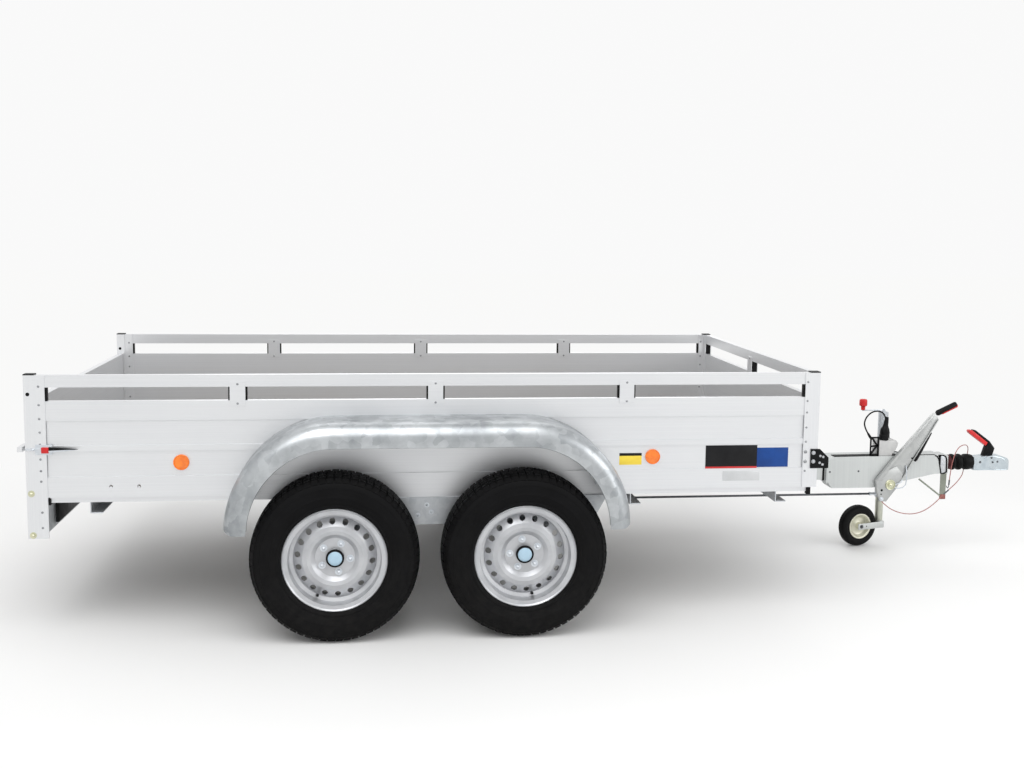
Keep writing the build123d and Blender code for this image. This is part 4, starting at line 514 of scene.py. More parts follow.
def grow(name: str, points: Sequence[Point], attributes: dict[str, tuple[str, list]], tree: bpy.types.NodeTree,
         inputs: dict[str, Value], angle: float = 40.0) -> bpy.types.Object:
    """Runs a Geometry Nodes tree on loose points and keeps the result as a plain mesh.

    Args:
        name: the new object's name.
        points: where the tree's points are, in metres.
        attributes: name to (data type, flat values) on the points.
        tree: the tree.
        inputs: the tree's named inputs.
        angle: edges sharper than this stay sharp, in degrees.

    Returns:
        The new object, at the origin.
    """
    seed = bpy.data.meshes.new(f"{name}_points")
    seed.from_pydata(points, [], [])
    for key, (kind, values) in attributes.items():
        layer = seed.attributes.new(key, kind, "POINT")
        layer.data.foreach_set("vector" if kind == "FLOAT_VECTOR" else "value", values)
    carrier = put(f"{name}_carrier", seed)
    modifier = carrier.modifiers.new("grow", "NODES")
    modifier.node_group = tree
    identifiers = {item.name: item.identifier for item in tree.interface.items_tree
                   if item.item_type == "SOCKET" and item.in_out == "INPUT"}
    for key, value in inputs.items():
        modifier[identifiers[key]] = value
    carrier.update_tag()
    bpy.context.view_layer.update()
    depsgraph = bpy.context.evaluated_depsgraph_get()
    data = bpy.data.meshes.new_from_object(carrier.evaluated_get(depsgraph), depsgraph=depsgraph)
    carrier.modifiers.remove(modifier)
    bpy.data.objects.remove(carrier)
    data.name = name
    smooth(data, angle)
    return put(name, data)


@dataclass
class Fastener:
    """One head: where it sits in a shape table's millimetres, which way it faces, and its radius."""

    place: Point
    facing: Point
    radius: float


def side_heads(spots: Iterable[Pair], out: float, radius: float, inward: bool = False) -> list[Fastener]:
    """Heads on both sides of the trailer.

    Args:
        spots: their X and Z.
        out: their distance from the middle plane.
        radius: their radius.
        inward: True to face the middle plane.

    Returns:
        The heads.
    """
    return [Fastener((x, side * out, z), (0, -side if inward else side, 0), radius)
            for x, z in spots for side in SIDES]


# ---------------------------------------------------------------- workshop
class Workshop:
    """The frame's solids, and the finishes and node trees that the sub-assemblies share, each built once."""

    def __init__(self, solids: dict[str, bpy.types.Object]) -> None:
        """Takes the frame's solids by name and builds the shared trees."""
        self.solids = solids
        self.groups = SurfaceGroups()
        self.head_trees = {head: head_tree(head) for head in Head}
        self.block_ring = block_ring_tree()
        self.made: dict[Paint, bpy.types.Material] = {}

    def paint(self, paint: Paint) -> bpy.types.Material:
        """The material of a finish, built when it is first asked for."""
        if paint not in self.made:
            self.made[paint] = paint.value.material(self.groups)
        return self.made[paint]

    def dress(self, paint: Paint, *names: str) -> None:
        """Gives a finish to the named solids of the frame."""
        for name in names:
            for slot in self.solids[name].material_slots:
                slot.material = self.paint(paint)

    def heads(self, name: str, heads: Sequence[Fastener], shape: Head, paint: Paint, height: float,
              body: str = CHASSIS, slot: Optional[str] = None) -> None:
        """Makes a group of fastener heads, as one mesh.

        Args:
            name: the piece's name.
            heads: the fasteners.
            shape: their head.
            paint: their finish.
            height: the head's height over its radius.
            body: the body that they ride on.
            slot: the record's slot, if it isn't the finish's own; not used.
        """
        facing = [c for h in heads for c in h.facing]
        piece = grow(name, from_rear([h.place for h in heads]),
                     {"facing": ("FLOAT_VECTOR", facing), "size": ("FLOAT", [h.radius / 1000.0 for h in heads])},
                     self.head_trees[shape], {"Height": height, "Material": self.paint(paint)})
        settle(piece, body)


# ---------------------------------------------------------------- mesh helpers
class Blank:
    """A mesh under construction, in a shape table's millimetres."""

    def __init__(self, shop: Workshop) -> None:
        """Starts with nothing in it."""
        self.shop = shop
        self.mesh = bmesh.new()

    def _skin(self, loops: Iterable[Sequence[bmesh.types.BMVert]]) -> "Blank":
        """Adds a face inside each loop of corners and turns them all outwards."""
        faces = [self.mesh.faces.new(loop) for loop in loops]
        bmesh.ops.recalc_face_normals(self.mesh, faces=faces)
        return self

    def block(self, x: Pair, y: Pair, z: Pair, side: int = 1) -> "Blank":
        """Adds a box from its reach along each axis; side -1 mirrors it to the trailer's right."""
        reaches = (x, (side * y[0], side * y[1]), z)
        size = [abs(high - low) for low, high in reaches]
        middle = [(low + high) / 2 for low, high in reaches]
        matrix = Matrix.Translation(middle) @ Matrix.Diagonal((*size, 1.0))
        bmesh.ops.create_cube(self.mesh, size=1.0, matrix=matrix)
        return self

    def slab(self, corners: Sequence[Pair], low: float, high: float, side: int = 1, flat: bool = False) -> "Blank":
        """Adds a prism.

        Args:
            corners: its outline as (x, z), or as (x, y) for a flat one.
            low: where it starts along Y, or along Z for a flat one.
            high: where it ends.
            side: -1 to mirror it to the trailer's right.
            flat: True for a prism that stands along Z.

        Returns:
            This blank.
        """
        near, far = ([self.mesh.verts.new((a, b, depth) if flat else (a, side * depth, b)) for a, b in corners]
                     for depth in (low, high))
        count = len(corners)
        walls = [(near[(i + 1) % count], near[i], far[i], far[(i + 1) % count]) for i in range(count)]
        return self._skin([near, list(reversed(far)), *walls])

    def lathe(self, profile: Sequence[Pair], centre: Point, axis: Point, steps: int) -> "Blank":
        """Adds a body of revolution, whose profile closes on itself where it doesn't touch the axis.

        Args:
            profile: (distance along the axis, radius) from one end to the other.
            centre: a point on the axis, where the distance is 0.
            axis: the axis' direction.
            steps: segments round it.

        Returns:
            This blank.
        """
        turn = Vector(UPWARD).rotation_difference(Vector(axis)).to_matrix().to_4x4()
        place = Matrix.Translation(centre) @ turn
        rings = []
        for distance, radius in profile:
            angles = [math.tau * i / steps for i in range(steps)] if radius else [0.0]
            rings.append([self.mesh.verts.new(place @ Vector((radius * math.cos(a), radius * math.sin(a), distance)))
                          for a in angles])
        pairs = list(zip(rings, rings[1:]))
        if all(radius for _, radius in profile):
            pairs.append((rings[-1], rings[0]))
        loops = []
        for here, there in pairs:
            for i in range(steps):
                j = (i + 1) % steps
                corners = [here[i % len(here)], here[j % len(here)], there[j % len(there)], there[i % len(there)]]
                loops.append(list(dict.fromkeys(corners)))
        return self._skin(loop for loop in loops if len(loop) > 2)

    def bar(self, points: Sequence[Point], radius: Union[float, Sequence[float]], sides: int) -> "Blank":
        """Adds a round bar that follows points, capped at both ends.

        Args:
            points: its centreline.
            radius: one radius, or one for each point.
            sides: faces round it.

        Returns:
            This blank.
        """
        line = [Vector(p) for p in points]
        radii = [radius] * len(line) if isinstance(radius, (int, float)) else radius
        across = None
        rings = []
        for i, (here, reach) in enumerate(zip(line, radii)):
            ahead = (line[min(i + 1, len(line) - 1)] - line[max(i - 1, 0)]).normalized()
            across = ahead.orthogonal().normalized() if across is None else across
            across = (across - ahead * across.dot(ahead)).normalized()
            up = ahead.cross(across)
            rings.append([self.mesh.verts.new(here + reach * (math.cos(math.tau * k / sides) * across
                                                              + math.sin(math.tau * k / sides) * up))
                          for k in range(sides)])
        loops = [rings[0], rings[-1]]
        for here, there in zip(rings, rings[1:]):
            loops += [(here[k], here[(k + 1) % sides], there[(k + 1) % sides], there[k]) for k in range(sides)]
        return self._skin(loops)

    def turn(self, matrix: Matrix) -> "Blank":
        """Moves all that is built so far by a matrix."""
        bmesh.ops.transform(self.mesh, matrix=matrix, verts=self.mesh.verts)
        return self

    def finish(self, name: str, paint: Paint, bevel: float = 0.0, replaces: Sequence[str] = (), body: str = CHASSIS,
               slot: Optional[str] = None, angle: float = 35.0) -> bpy.types.Object:
        """Turns the blank into a piece, in metres, that rides on a body.

        Args:
            name: the piece's name.
            paint: its finish.
            bevel: width of the rounded edges, in millimetres, or 0.
            replaces: solids of the frame that it stands for.
            body: the body that it rides on.
            slot: the record's slot, if it isn't the finish's own; not used.
            angle: edges sharper than this stay sharp, in degrees.

        Returns:
            The new object.
        """
        self.turn(Matrix.Translation((REAR_FACE_X, 0.0, 0.0)) @ Matrix.Scale(0.001, 4))
        if bevel:
            sharp = [e for e in self.mesh.edges if e.is_manifold and e.calc_face_angle(0.0) > BEVEL_FROM]
            bmesh.ops.bevel(self.mesh, geom=sharp, offset=bevel / 1000.0, segments=2, profile=0.5, affect="EDGES",
                            clamp_overlap=True)
        data = bpy.data.meshes.new(name)
        self.mesh.to_mesh(data)
        self.mesh.free()
        smooth(data, angle)
        data.materials.append(self.shop.paint(paint))
        piece = put(name, data)
        settle(piece, body, replaces)
        return piece


# ---------------------------------------------------------------- floor, light, camera
@dataclass(frozen=True)
class Lamp:
    """A square soft lamp: its place, what it aims at, its width and its power."""

    name: str
    place: Point
    aim: Point
    size: float
    power: float


@dataclass
class Studio:
    """Pale floor, soft light and the camera, in metres."""

    eye: Point = (-0.85552, -5.15180, 1.56623)
    yaw: float = 0.1174
    pitch: float = 0.1115
    roll: float = -0.0122
    focal_px: float = 1144.67
    frame_px: float = 1024.0
    rise_px: float = -33.42
    sensor: float = 36.0
    sight: float = 200.0
    floor_size: float = 60.0
    floor_colour: Colour = (0.86, 0.86, 0.855)
    floor_shade: Colour = (0.84, 0.84, 0.835)
    fade_shape: Point = (0.30, 0.42, 0.0)
    fade_reach: Pair = (0.75, 1.35)
    world_strength: float = 0.74
    backdrop: float = 0.95
    lamps: Sequence[Lamp] = (
        Lamp("key", (-1.5, -3.5, 5.5), (0.0, 0.0, 0.4), 5.0, 205.0),
        Lamp("fill", (5.5, -4.0, 3.0), (0.5, 0.0, 0.5), 4.0, 125.0),
        Lamp("back", (0.0, 5.0, 4.5), (0.0, 0.0, 0.6), 5.0, 90.0),
    )

    def place_camera(self) -> None:
        """Sets the camera with its lens and its small vertical shift."""
        yaw, pitch, roll = self.yaw, self.pitch, self.roll
        ahead = Vector((math.sin(yaw) * math.cos(pitch), math.cos(yaw) * math.cos(pitch), -math.sin(pitch)))
        right = Vector((math.cos(yaw), -math.sin(yaw), 0.0))
        down = ahead.cross(right)
        right, down = (math.cos(roll) * right + math.sin(roll) * down,
                       -math.sin(roll) * right + math.cos(roll) * down)
        data = bpy.data.cameras.new("camera")
        data.sensor_width = self.sensor
        data.lens = self.focal_px / self.frame_px * self.sensor
        data.shift_y = self.rise_px / self.frame_px
        data.clip_end = self.sight
        camera = put("camera", data)
        rotation = Matrix((right, -down, -ahead)).transposed()
        camera.matrix_world = Matrix.Translation(self.eye) @ rotation.to_4x4()
        bpy.context.scene.camera = camera

    def lay_floor(self) -> None:
        """Lays the pale floor, which keeps the trailer's shadow and fades into the backdrop."""
        half = self.floor_size / 2
        data = bpy.data.meshes.new("studio_floor")
        data.from_pydata([(-half, -half, 0), (half, -half, 0), (half, half, 0), (-half, half, 0)], [], [(0, 1, 2, 3)])
        material = bpy.data.materials.new("studio_floor")
        material.use_nodes = True
        sheet = NodeSheet(material.node_tree)
        material.node_tree.nodes.clear()
        place = sheet.place()
        colour = sheet.blend(sheet.noise(place, 0.8, 3.0), (*self.floor_colour, 1.0), (*self.floor_shade, 1.0))
        surface = sheet.add("ShaderNodeBsdfPrincipled", {"Base Color": colour, "Roughness": 0.55,
                                                         "Specular IOR Level": 0.25})
        scaled = sheet.add("ShaderNodeVectorMath", {0: place, 1: self.fade_shape}, operation="MULTIPLY")
        reach = sheet.add("ShaderNodeVectorMath", {0: scaled.outputs[0]}, operation="LENGTH").outputs["Value"]
        far = sheet.add("ShaderNodeMapRange", {0: reach, 1: self.fade_reach[0], 2: self.fade_reach[1], 3: 0.0, 4: 1.0},
                        interpolation_type="SMOOTHSTEP").outputs[0]
        path = sheet.add("ShaderNodeLightPath")
        seen = sheet.maths("MAXIMUM", path.outputs["Is Camera Ray"], path.outputs["Is Glossy Ray"])
        pale = sheet.add("ShaderNodeEmission", {"Color": (1.0, 1.0, 0.995, 1.0), "Strength": self.backdrop})
        blend = sheet.add("ShaderNodeMixShader", {0: sheet.maths("MULTIPLY", far, seen), 1: surface.outputs[0],
                                                  2: pale.outputs[0]})
        sheet.add("ShaderNodeOutputMaterial", {"Surface": blend.outputs[0]})
        data.materials.append(material)
        put("studio_floor", data)

    def hang_lamps(self) -> None:
        """Hangs one large soft lamp above and two weaker ones at the front and the rear."""
        for row in self.lamps:
            data = bpy.data.lights.new(row.name, "AREA")
            data.shape, data.size, data.energy = "SQUARE", row.size, row.power
            lamp = put(row.name, data)
            lamp.location = row.place
            lamp.rotation_euler = (Vector(row.aim) - Vector(row.place)).to_track_quat("-Z", "Y").to_euler()

    def paint_world(self) -> None:
        """Gives the world its soft light, and white to whatever looks straight at it."""
        world = bpy.data.worlds.new("studio_world")
        bpy.context.scene.world = world
        world.use_nodes = True
        sheet = NodeSheet(world.node_tree)
        world.node_tree.nodes.clear()
        rays = sheet.add("ShaderNodeLightPath").outputs
        seen = sheet.maths("MAXIMUM", rays["Is Camera Ray"], rays["Is Transmission Ray"])
        seen = sheet.maths("MAXIMUM", seen, rays["Is Glossy Ray"])
        strength = sheet.mix(seen, self.world_strength, self.backdrop)
        background = sheet.add("ShaderNodeBackground", {"Color": (1.0, 1.0, 1.0, 1.0), "Strength": strength})
        sheet.add("ShaderNodeOutputWorld", {"Surface": background.outputs[0]})

    def build(self) -> None:
        """Builds the whole studio."""
        bpy.context.scene.view_settings.view_transform = "Standard"
        self.place_camera()
        self.lay_floor()
        self.hang_lamps()
        self.paint_world()


# ---------------------------------------------------------------- cords
@dataclass
class Cord:
    """One free cable on a smooth line through its control points, in metres."""

    name: str
    points: Sequence[Point]
    diameter: float
    length: float
    stiffness: str
    lay: str
    far_end: str
    paint: Paint

    def build(self, shop: Workshop, fittings: Sequence[bpy.types.Object] = ()) -> None:
        data = bpy.data.curves.new(self.name, "CURVE")
        data.dimensions = "3D"
        data.bevel_depth = self.diameter / 2
        data.bevel_resolution = 4
        data.resolution_u = 8
        data.use_fill_caps = True
        spline = data.splines.new("NURBS")
        spline.points.add(len(self.points) - 1)
        for point, place in zip(spline.points, self.points):
            point.co = (*place, 1.0)
        spline.order_u = 3
        spline.use_endpoint_u = True
        data.materials.append(shop.paint(self.paint))
        piece = put(self.name + "_line", data)
        settle(piece, CHASSIS, (self.name,))


PLUG_CABLE = Cord(
    "plug_cable",
    from_rear(((3699, -30, 646), (3695, -30, 674), (3668, -31, 700), (3625, -33, 697), (3593, -36, 668),
               (3584, -39, 628), (3606, -44, 592))),
    0.007, 0.228, "medium", "loose", "object", Paint.RUBBER)
BREAKAWAY_CABLE = Cord(
    "breakaway_cable",
    from_rear(((3674, -77, 272), (3696, -80, 250), (3734, -84, 227), (3782, -86, 213), (3834, -86, 211),
               (3882, -84, 224), (3928, -80, 252), (3970, -74, 288), (4010, -68, 322), (4050, -58, 350),
               (4086, -38, 378), (4112, -4, 390), (4134, 32, 406), (4152, 54, 438), (4164, 57, 474),
               (4158, 44, 504), (4132, 14, 522), (4100, -14, 528), (4066, -38, 522), (4040, -54, 496),
               (4026, -60, 456), (4018, -62, 412), (4014, -62, 364))),
    0.004, 0.989, "medium", "hanging", "fitting", Paint.RED_SHEATH)


def cable_clip(shop: Workshop) -> bpy.types.Object:
    """The ferrule and hook on the breakaway cable's end, hooked over its own lower run."""
    blank = Blank(shop)
    blank.bar(((4014.2, -62, 368), (4012.5, -62.5, 345)), 3.6, 10)
    blank.bar(((4012.5, -62.5, 346), (4010, -65, 336), (4005, -68, 330), (3999, -70, 334), (3998, -69, 342)), 1.9, 8)
    blank.bar(((3984, -71.8, 300), (3998, -69.8, 312), (4010, -67.5, 321)), 3.4, 10)
    return blank.finish("cable_clip", Paint.PIT)


# ---------------------------------------------------------------- load box
@dataclass(frozen=True)
class Plate:
    """A bare plate or label on the near side board."""

    name: str
    x: Pair
    z: Pair
    paint: Paint
    thickness: float = 1.2
    face: float = RECESS_FACE


@dataclass
class LoadBox:
    """Boards, posts, rails, their rivets, reflectors and latches, and the plates on the side."""

    rear_rivets: Sequence[float] = (942, 873, 821, 770, 724, 668, 624, 584, 466, 407)
    front_rivets: Sequence[float] = (947, 871, 824, 763, 705, 586)
    rear_columns: Pair = (54, 58)
    front_columns: Pair = (3009, 3009)
    front_face: Pair = (3060, 740)
    floor_top: float = 560.0
    front_bolts: Sequence[Pair] = ((3009, 664), (3009, 624.5))
    post_bolts: Sequence[Pair] = ((17, 538), (19, 379))
    bracket_places: Sequence[float] = (775, 1522, 2272)
    bracket_rivets: Sequence[float] = (948, 874)
    bracket_faces: Pair = (789, 758)
    wall_faces: Sequence[Pair] = ((3059, 1), (3028, -1))
    rivet_radius: float = 4.6
    post_hole: Pair = (15, 913)
    post_inside: float = 752.0
    gusset_bolts: Sequence[Pair] = ((3041, 660), (3041, 625))
    gusset_screws: Sequence[Pair] = ((3070, 647), (3082, 643), (3068, 619), (3080, 612))
    plates: Sequence[Plate] = (
        Plate("sign_plate", (2599, 2811), (597, 692), Paint.SIGN_BLACK),
        Plate("sign_strip", (2599, 2811), (597, 606), Paint.SIGN_RED, 1.6),
        Plate("blue_plate", (2811, 2940), (602, 681), Paint.SIGN_BLUE),
        Plate("yellow_label", (2249, 2339), (618, 654), Paint.SIGN_YELLOW, 0.8),
        Plate("label_bar", (2249, 2339), (654, 665), Paint.SIGN_BLACK, 0.8),
        Plate("data_plate", (2670, 2822), (549, 588), Paint.PLATE_STEEL, 1.0, BAND_FACE),
    )
    sill_plugs: Sequence[tuple[Pair, Pair]] = (((3022.5, 3038), (488, 520)), ((76.5, 84), (492, 522)))
    reflectors: Sequence[Pair] = ((562.6, 650), (2383.0, 650))
    reflector_rim: Sequence[Pair] = ((0, 30), (6, 30), (8.5, 28.5), (8.5, 26.2), (5, 25.5), (0, 25.5))
    reflector_lens: Sequence[Pair] = ((1, 0), (1, 25.6), (6.2, 25.6), (7.8, 21), (8.6, 12), (9, 0))
    latch_tip: Sequence[Pair] = ((86, 716), (150, 711), (192, 706.5), (150, 706.5), (86, 704))
    latch_arm: Sequence[Pair] = ((86, 703), (150, 705.5), (188, 705.5), (150, 700), (86, 695))
    latch_pin: Sequence[Pair] = ((0, 4), (10, 4), (12, 2.5), (12, 0))

    def paint_boards(self, shop: Workshop) -> None:
        """Gives the solids their finishes."""
        shop.dress(Paint.BOARD, "side_wall_right", "side_wall_left", "top_rails", "rail_brackets")
        shop.dress(Paint.CROSS_BOARD, "front_wall", "tailgate", "tailgate_leaves", "tailgate_catches")
        shop.dress(Paint.POST, "rear_posts", "front_posts")
        shop.dress(Paint.PLYWOOD, "floor_panel")
        shop.dress(Paint.BLACK, "black_plugs", "corner_gussets")
        shop.dress(Paint.ZINC, "frame_members", "hinge_knuckles", "rear_panel")

    def set_rivets(self, shop: Workshop) -> None:
        """Sets the rivets of posts and brackets, on the outer and the inner faces."""
        radius = self.rivet_radius
        heads: list[Fastener] = []
        for (outer_x, inner_x), heights in ((self.rear_columns, self.rear_rivets),
                                            (self.front_columns, self.front_rivets)):
            heads += side_heads([(outer_x, z) for z in heights], HALF_WIDTH, radius)
            heads += side_heads([(inner_x, z) for z in heights if z > self.floor_top], INNER_FACE, radius, inward=True)
        front, out = self.front_face
        heads += [Fastener((front, side * out, z), FORWARD, radius * 0.9)
                  for side in SIDES for z in self.front_rivets if z > self.floor_top]
        brackets = [(x, z) for x in self.bracket_places for z in self.bracket_rivets]
        for out, inward in zip(self.bracket_faces, (False, True)):
            heads += side_heads(brackets, out, radius, inward)
        heads += [Fastener((x, 0, z), (facing, 0, 0), radius) for x, facing in self.wall_faces
                  for z in self.bracket_rivets]
        shop.heads("post_rivets", heads, Head.DOME, Paint.RIVET, 0.45)

    def set_bolts(self, shop: Workshop) -> None:
        """Sets the bolts of posts and gussets, and black discs of painted shade in the posts' holes."""
        shop.heads("post_bolts", side_heads(self.post_bolts, HALF_WIDTH, 9.5), Head.HEX, Paint.ZINC_YELLOW, 0.6,
                   slot=STEEL)
        shop.heads("front_post_domes", side_heads(self.front_bolts, HALF_WIDTH, 7.5), Head.DOME, Paint.RIVET, 0.5)
        out = HALF_WIDTH + 5
        shop.heads("gusset_bolts", side_heads(self.gusset_bolts, out, 6.2) + side_heads(self.gusset_screws, out, 3.8),
                   Head.HEX, Paint.RIM, 0.55)
        # painted shade: thin black discs on both faces of each post where its hole is
        hole_shades = side_heads((self.post_hole,), HALF_WIDTH - 0.4, 7.5)
        hole_shades += side_heads((self.post_hole,), self.post_inside + 0.4, 7.5, inward=True)
        shop.heads("post_hole_shades", hole_shades, Head.DISC, Paint.BLACK, 0.14)

    def fit_plates(self, shop: Workshop) -> None:
        """Fits the bare plates and labels to the near side's recessed field, and the data plate below them."""
        for plate in self.plates:
            Blank(shop).block(plate.x, (plate.face - 0.2, plate.face + plate.thickness), plate.z, side=-1).finish(
                plate.name, plate.paint, bevel=0.3)

    def plug_sills(self, shop: Workshop) -> None:
        """Plugs the ends of the sill's channel beside the posts."""
        blank = Blank(shop)
        for side in SIDES:
            for x, z in self.sill_plugs:
                blank.block(x, (762, 786.5), z, side)
        blank.finish("sill_plugs", Paint.BLACK, bevel=1.2)

    def light_sides(self, shop: Workshop) -> None:
        """Fits the amber side reflectors: a dished rim with a faceted lens in it."""
        rims, lenses = Blank(shop), Blank(shop)
        for side in SIDES:
            for x, z in self.reflectors:
                centre = (x, side * RECESS_FACE, z)
                rims.lathe(self.reflector_rim, centre, (0, side, 0), 40)
                lenses.lathe(self.reflector_lens, centre, (0, side, 0), 40)
        rims.finish("reflector_rims", Paint.AMBER, replaces=("side_reflectors",))
        lenses.finish("reflector_lenses", Paint.AMBER)

    def fit_latches(self, shop: Workshop) -> None:
        """Fits an over-centre latch to each rear post: hook, red catch, two-tone tip."""
        red, steel, black = Blank(shop), Blank(shop), Blank(shop)
        reach = HALF_WIDTH + 4.5, HALF_WIDTH + 12.5
        for side in SIDES:
            steel.block((2, 60), (HALF_WIDTH, HALF_WIDTH + 5), (702, 710), side)
            steel.block((36, 96), (HALF_WIDTH, HALF_WIDTH + 3), (686, 724), side)
            red.block((60, 87), (HALF_WIDTH + 3, HALF_WIDTH + 14), (693, 715), side)
            black.slab(self.latch_tip, *reach, side)
            steel.slab(self.latch_arm, *reach, side)
            steel.lathe(self.latch_pin, (30, side * HALF_WIDTH, 706), (0, side, 0), 16)
        red.finish("latch_catches", Paint.RED, bevel=2.0, replaces=("side_latches",))
        steel.finish("latch_plates", Paint.ZINC_BRIGHT, bevel=0.8, slot=YELLOW_STEEL)
        black.finish("latch_tips", Paint.BLACK, bevel=1.0)

    def build(self, shop: Workshop) -> None:
        """Dresses the whole box."""
        self.paint_boards(shop)
        self.set_rivets(shop)
        self.set_bolts(shop)
        self.fit_plates(shop)
        self.plug_sills(shop)
        self.light_sides(shop)
        self.fit_latches(shop)


@dataclass
class TailLights:
    """Two lamp clusters in the rear panel: red, amber and clear fields in a black housing, and a blank plate."""

    face: float = 10.0
    depth: float = 52.0
    outer: float = 599.5
    inner: float = 270.5
    low: float = 378.5
    high: float = 492.5
    rim: float = 12.0
    plate: tuple[Pair, Pair] = ((-260, 260), (382, 492))
    shares: Sequence[tuple[Paint, float, float]] = (
        (Paint.RED_LENS, 0.0, 0.42), (Paint.AMBER, 0.42, 0.70), (Paint.RED_LENS, 0.70, 0.84),
        (Paint.WHITE_LENS, 0.84, 1.0))

    def build(self, shop: Workshop) -> None:
        """Builds housings and lens fields on both sides."""
        housing = Blank(shop)
        fields = {paint: Blank(shop) for paint, _, _ in self.shares}
        first, span = self.outer - self.rim, self.outer - self.inner - 2 * self.rim
        for side in SIDES:
            housing.block((self.face, self.face + self.depth), (self.inner, self.outer), (self.low, self.high), side)
            for paint, start, end in self.shares:
                fields[paint].block((self.face - 4, self.face + 1), (first - span * end + 1, first - span * start - 1),
                                    (self.low + 10, self.high - 10), side)
        housing.finish("lamp_housings", Paint.BLACK, bevel=4.0, replaces=("tail_lamps",))
        for paint, blank in fields.items():
            blank.finish(f"lamp_{paint.value.name}", paint, bevel=1.8)
        Blank(shop).block((self.face - 1.5, self.face + 0.5), *self.plate).finish(
            "blank_number_plate", Paint.WHITE_LENS, bevel=0.6, slot=ALUMINIUM)


# ---------------------------------------------------------------- mudguards and wheels
WHEELS_X = (1142.0, 1854.0)


@dataclass
class Mudguards:
    """Galvanised guards over both wheels of a side, with a rolled bead along the skirt."""

    reach: float = 322.0
    centre_z: float = 420.0
    out: float = 1006.0
    bead: float = 4.2
    steps: int = 24
    sweep: float = 87.0
    starts: Pair = (177.0, 90.0)

    def edge_line(self, side: int) -> list[Point]:
        """Points along the skirt's lower edge, from the rear tip to the front tip."""
        turns = [(x, math.radians(start - step * self.sweep / self.steps))
                 for x, start in zip(WHEELS_X, self.starts) for step in range(self.steps + 1)]
        return [(x + self.reach * math.cos(a), side * self.out, self.centre_z + self.reach * math.sin(a))
                for x, a in turns]

    def build(self, shop: Workshop) -> None:
        """Dresses both guards and their stays."""
        shop.dress(Paint.GUARD, "mudguard_right", "mudguard_left")
        shop.dress(Paint.ZINC, "mudguard_stays")
        beads = Blank(shop)
        for side in SIDES:
            beads.bar(self.edge_line(side), self.bead, 8)
        beads.finish("mudguard_beads", Paint.GUARD)


def mirrored(profile: Sequence[Pair]) -> list[Pair]:
    """The other half of a profile that is the same on both sides of its middle plane."""
    return [(-a, r) for a, r in reversed(profile)]


@dataclass(frozen=True)
class TreadRib:
    """One ring of tread blocks: offset from the wheel's middle plane, block size, tilt in radians and drop."""

    offset: float
    size: Point
    tilt: float = 0.0
    drop: float = 0.0
    count: int = 66


@dataclass
class Tyre:
    """Road tyre: smooth sidewall with a rim guard, ribbed shoulder and seven rings of tread blocks."""

    radius: float = 316.0
    groove: float = 7.5
    sidewall: Sequence[Pair] = (
        (72, 190), (77, 195.5), (81.5, 199), (86, 203.5), (90.5, 206.2), (91.2, 210), (90, 212.8), (92.5, 218),
        (95, 229), (96.6, 240), (96.9, 240.5), (96.9, 242.5), (96.6, 243), (96.9, 252), (96.6, 264), (95, 274),
        (95.6, 274.5), (95.3, 276.2), (94.4, 276.6), (91.5, 286), (87, 295), (80, 301.5), (70, 306))
    crown: Sequence[Pair] = ((55, -0.8), (28, 0.4), (0, 0.6), (-28, 0.4), (-55, -0.8))
    liner: Sequence[Pair] = ((-60, 183), (-78, 230), (-70, 280), (0, 298), (70, 280), (78, 230), (60, 183))
    ribs: Sequence[TreadRib] = (
        TreadRib(0.0, (20.0, 26.2, 9.0)),
        TreadRib(26.5, (21.0, 26.2, 9.0), 0.03, 0.4),
        TreadRib(-26.5, (21.0, 26.2, 9.0), -0.03, 0.4),
        TreadRib(54.5, (23.5, 23.5, 9.0), 0.10, 2.6),
        TreadRib(-54.5, (23.5, 23.5, 9.0), -0.10, 2.6),
        TreadRib(77.5, (24.0, 22.5, 7.0), 0.62, 12.0),
        TreadRib(-77.5, (24.0, 22.5, 7.0), -0.62, 12.0),
    )

    def build(self, shop: Workshop, name: str, body: str, centre: Point, side: int) -> None:
        """Builds the tyre of one wheel.

        Args:
            shop: the finishes and the tree of tread blocks.
            name: the tyre's solid, which the casing stands for.
            body: the body that it rides on.
            centre: the wheel's centre.
            side: the trailer's side that it is on.
        """
        floor = self.radius - self.groove
        crown = [(a, floor + rise) for a, rise in self.crown]
        profile = [*self.sidewall, *crown, *mirrored(self.sidewall), *self.liner]
        Blank(shop).lathe(profile, centre, (0, side, 0), 96).finish(
            f"{name}_casing", Paint.TYRE, replaces=(name,), body=body, angle=40.0)
        for number, rib in enumerate(self.ribs):
            radius = self.radius - rib.drop - rib.size[2] / 2
            piece = grow(f"{name}_rib_{number}", [(0.0, 0.0, 0.0)], {}, shop.block_ring, {
                "Count": rib.count, "Radius": radius / 1000.0, "Offset": rib.offset / 1000.0,
                "Block": tuple(length / 1000.0 for length in rib.size), "Tilt": rib.tilt, "Start": 0.5 * (number % 2),
                "Centre": spot(*centre), "Material": shop.paint(Paint.TYRE)}, angle=20.0)
            settle(piece, body)


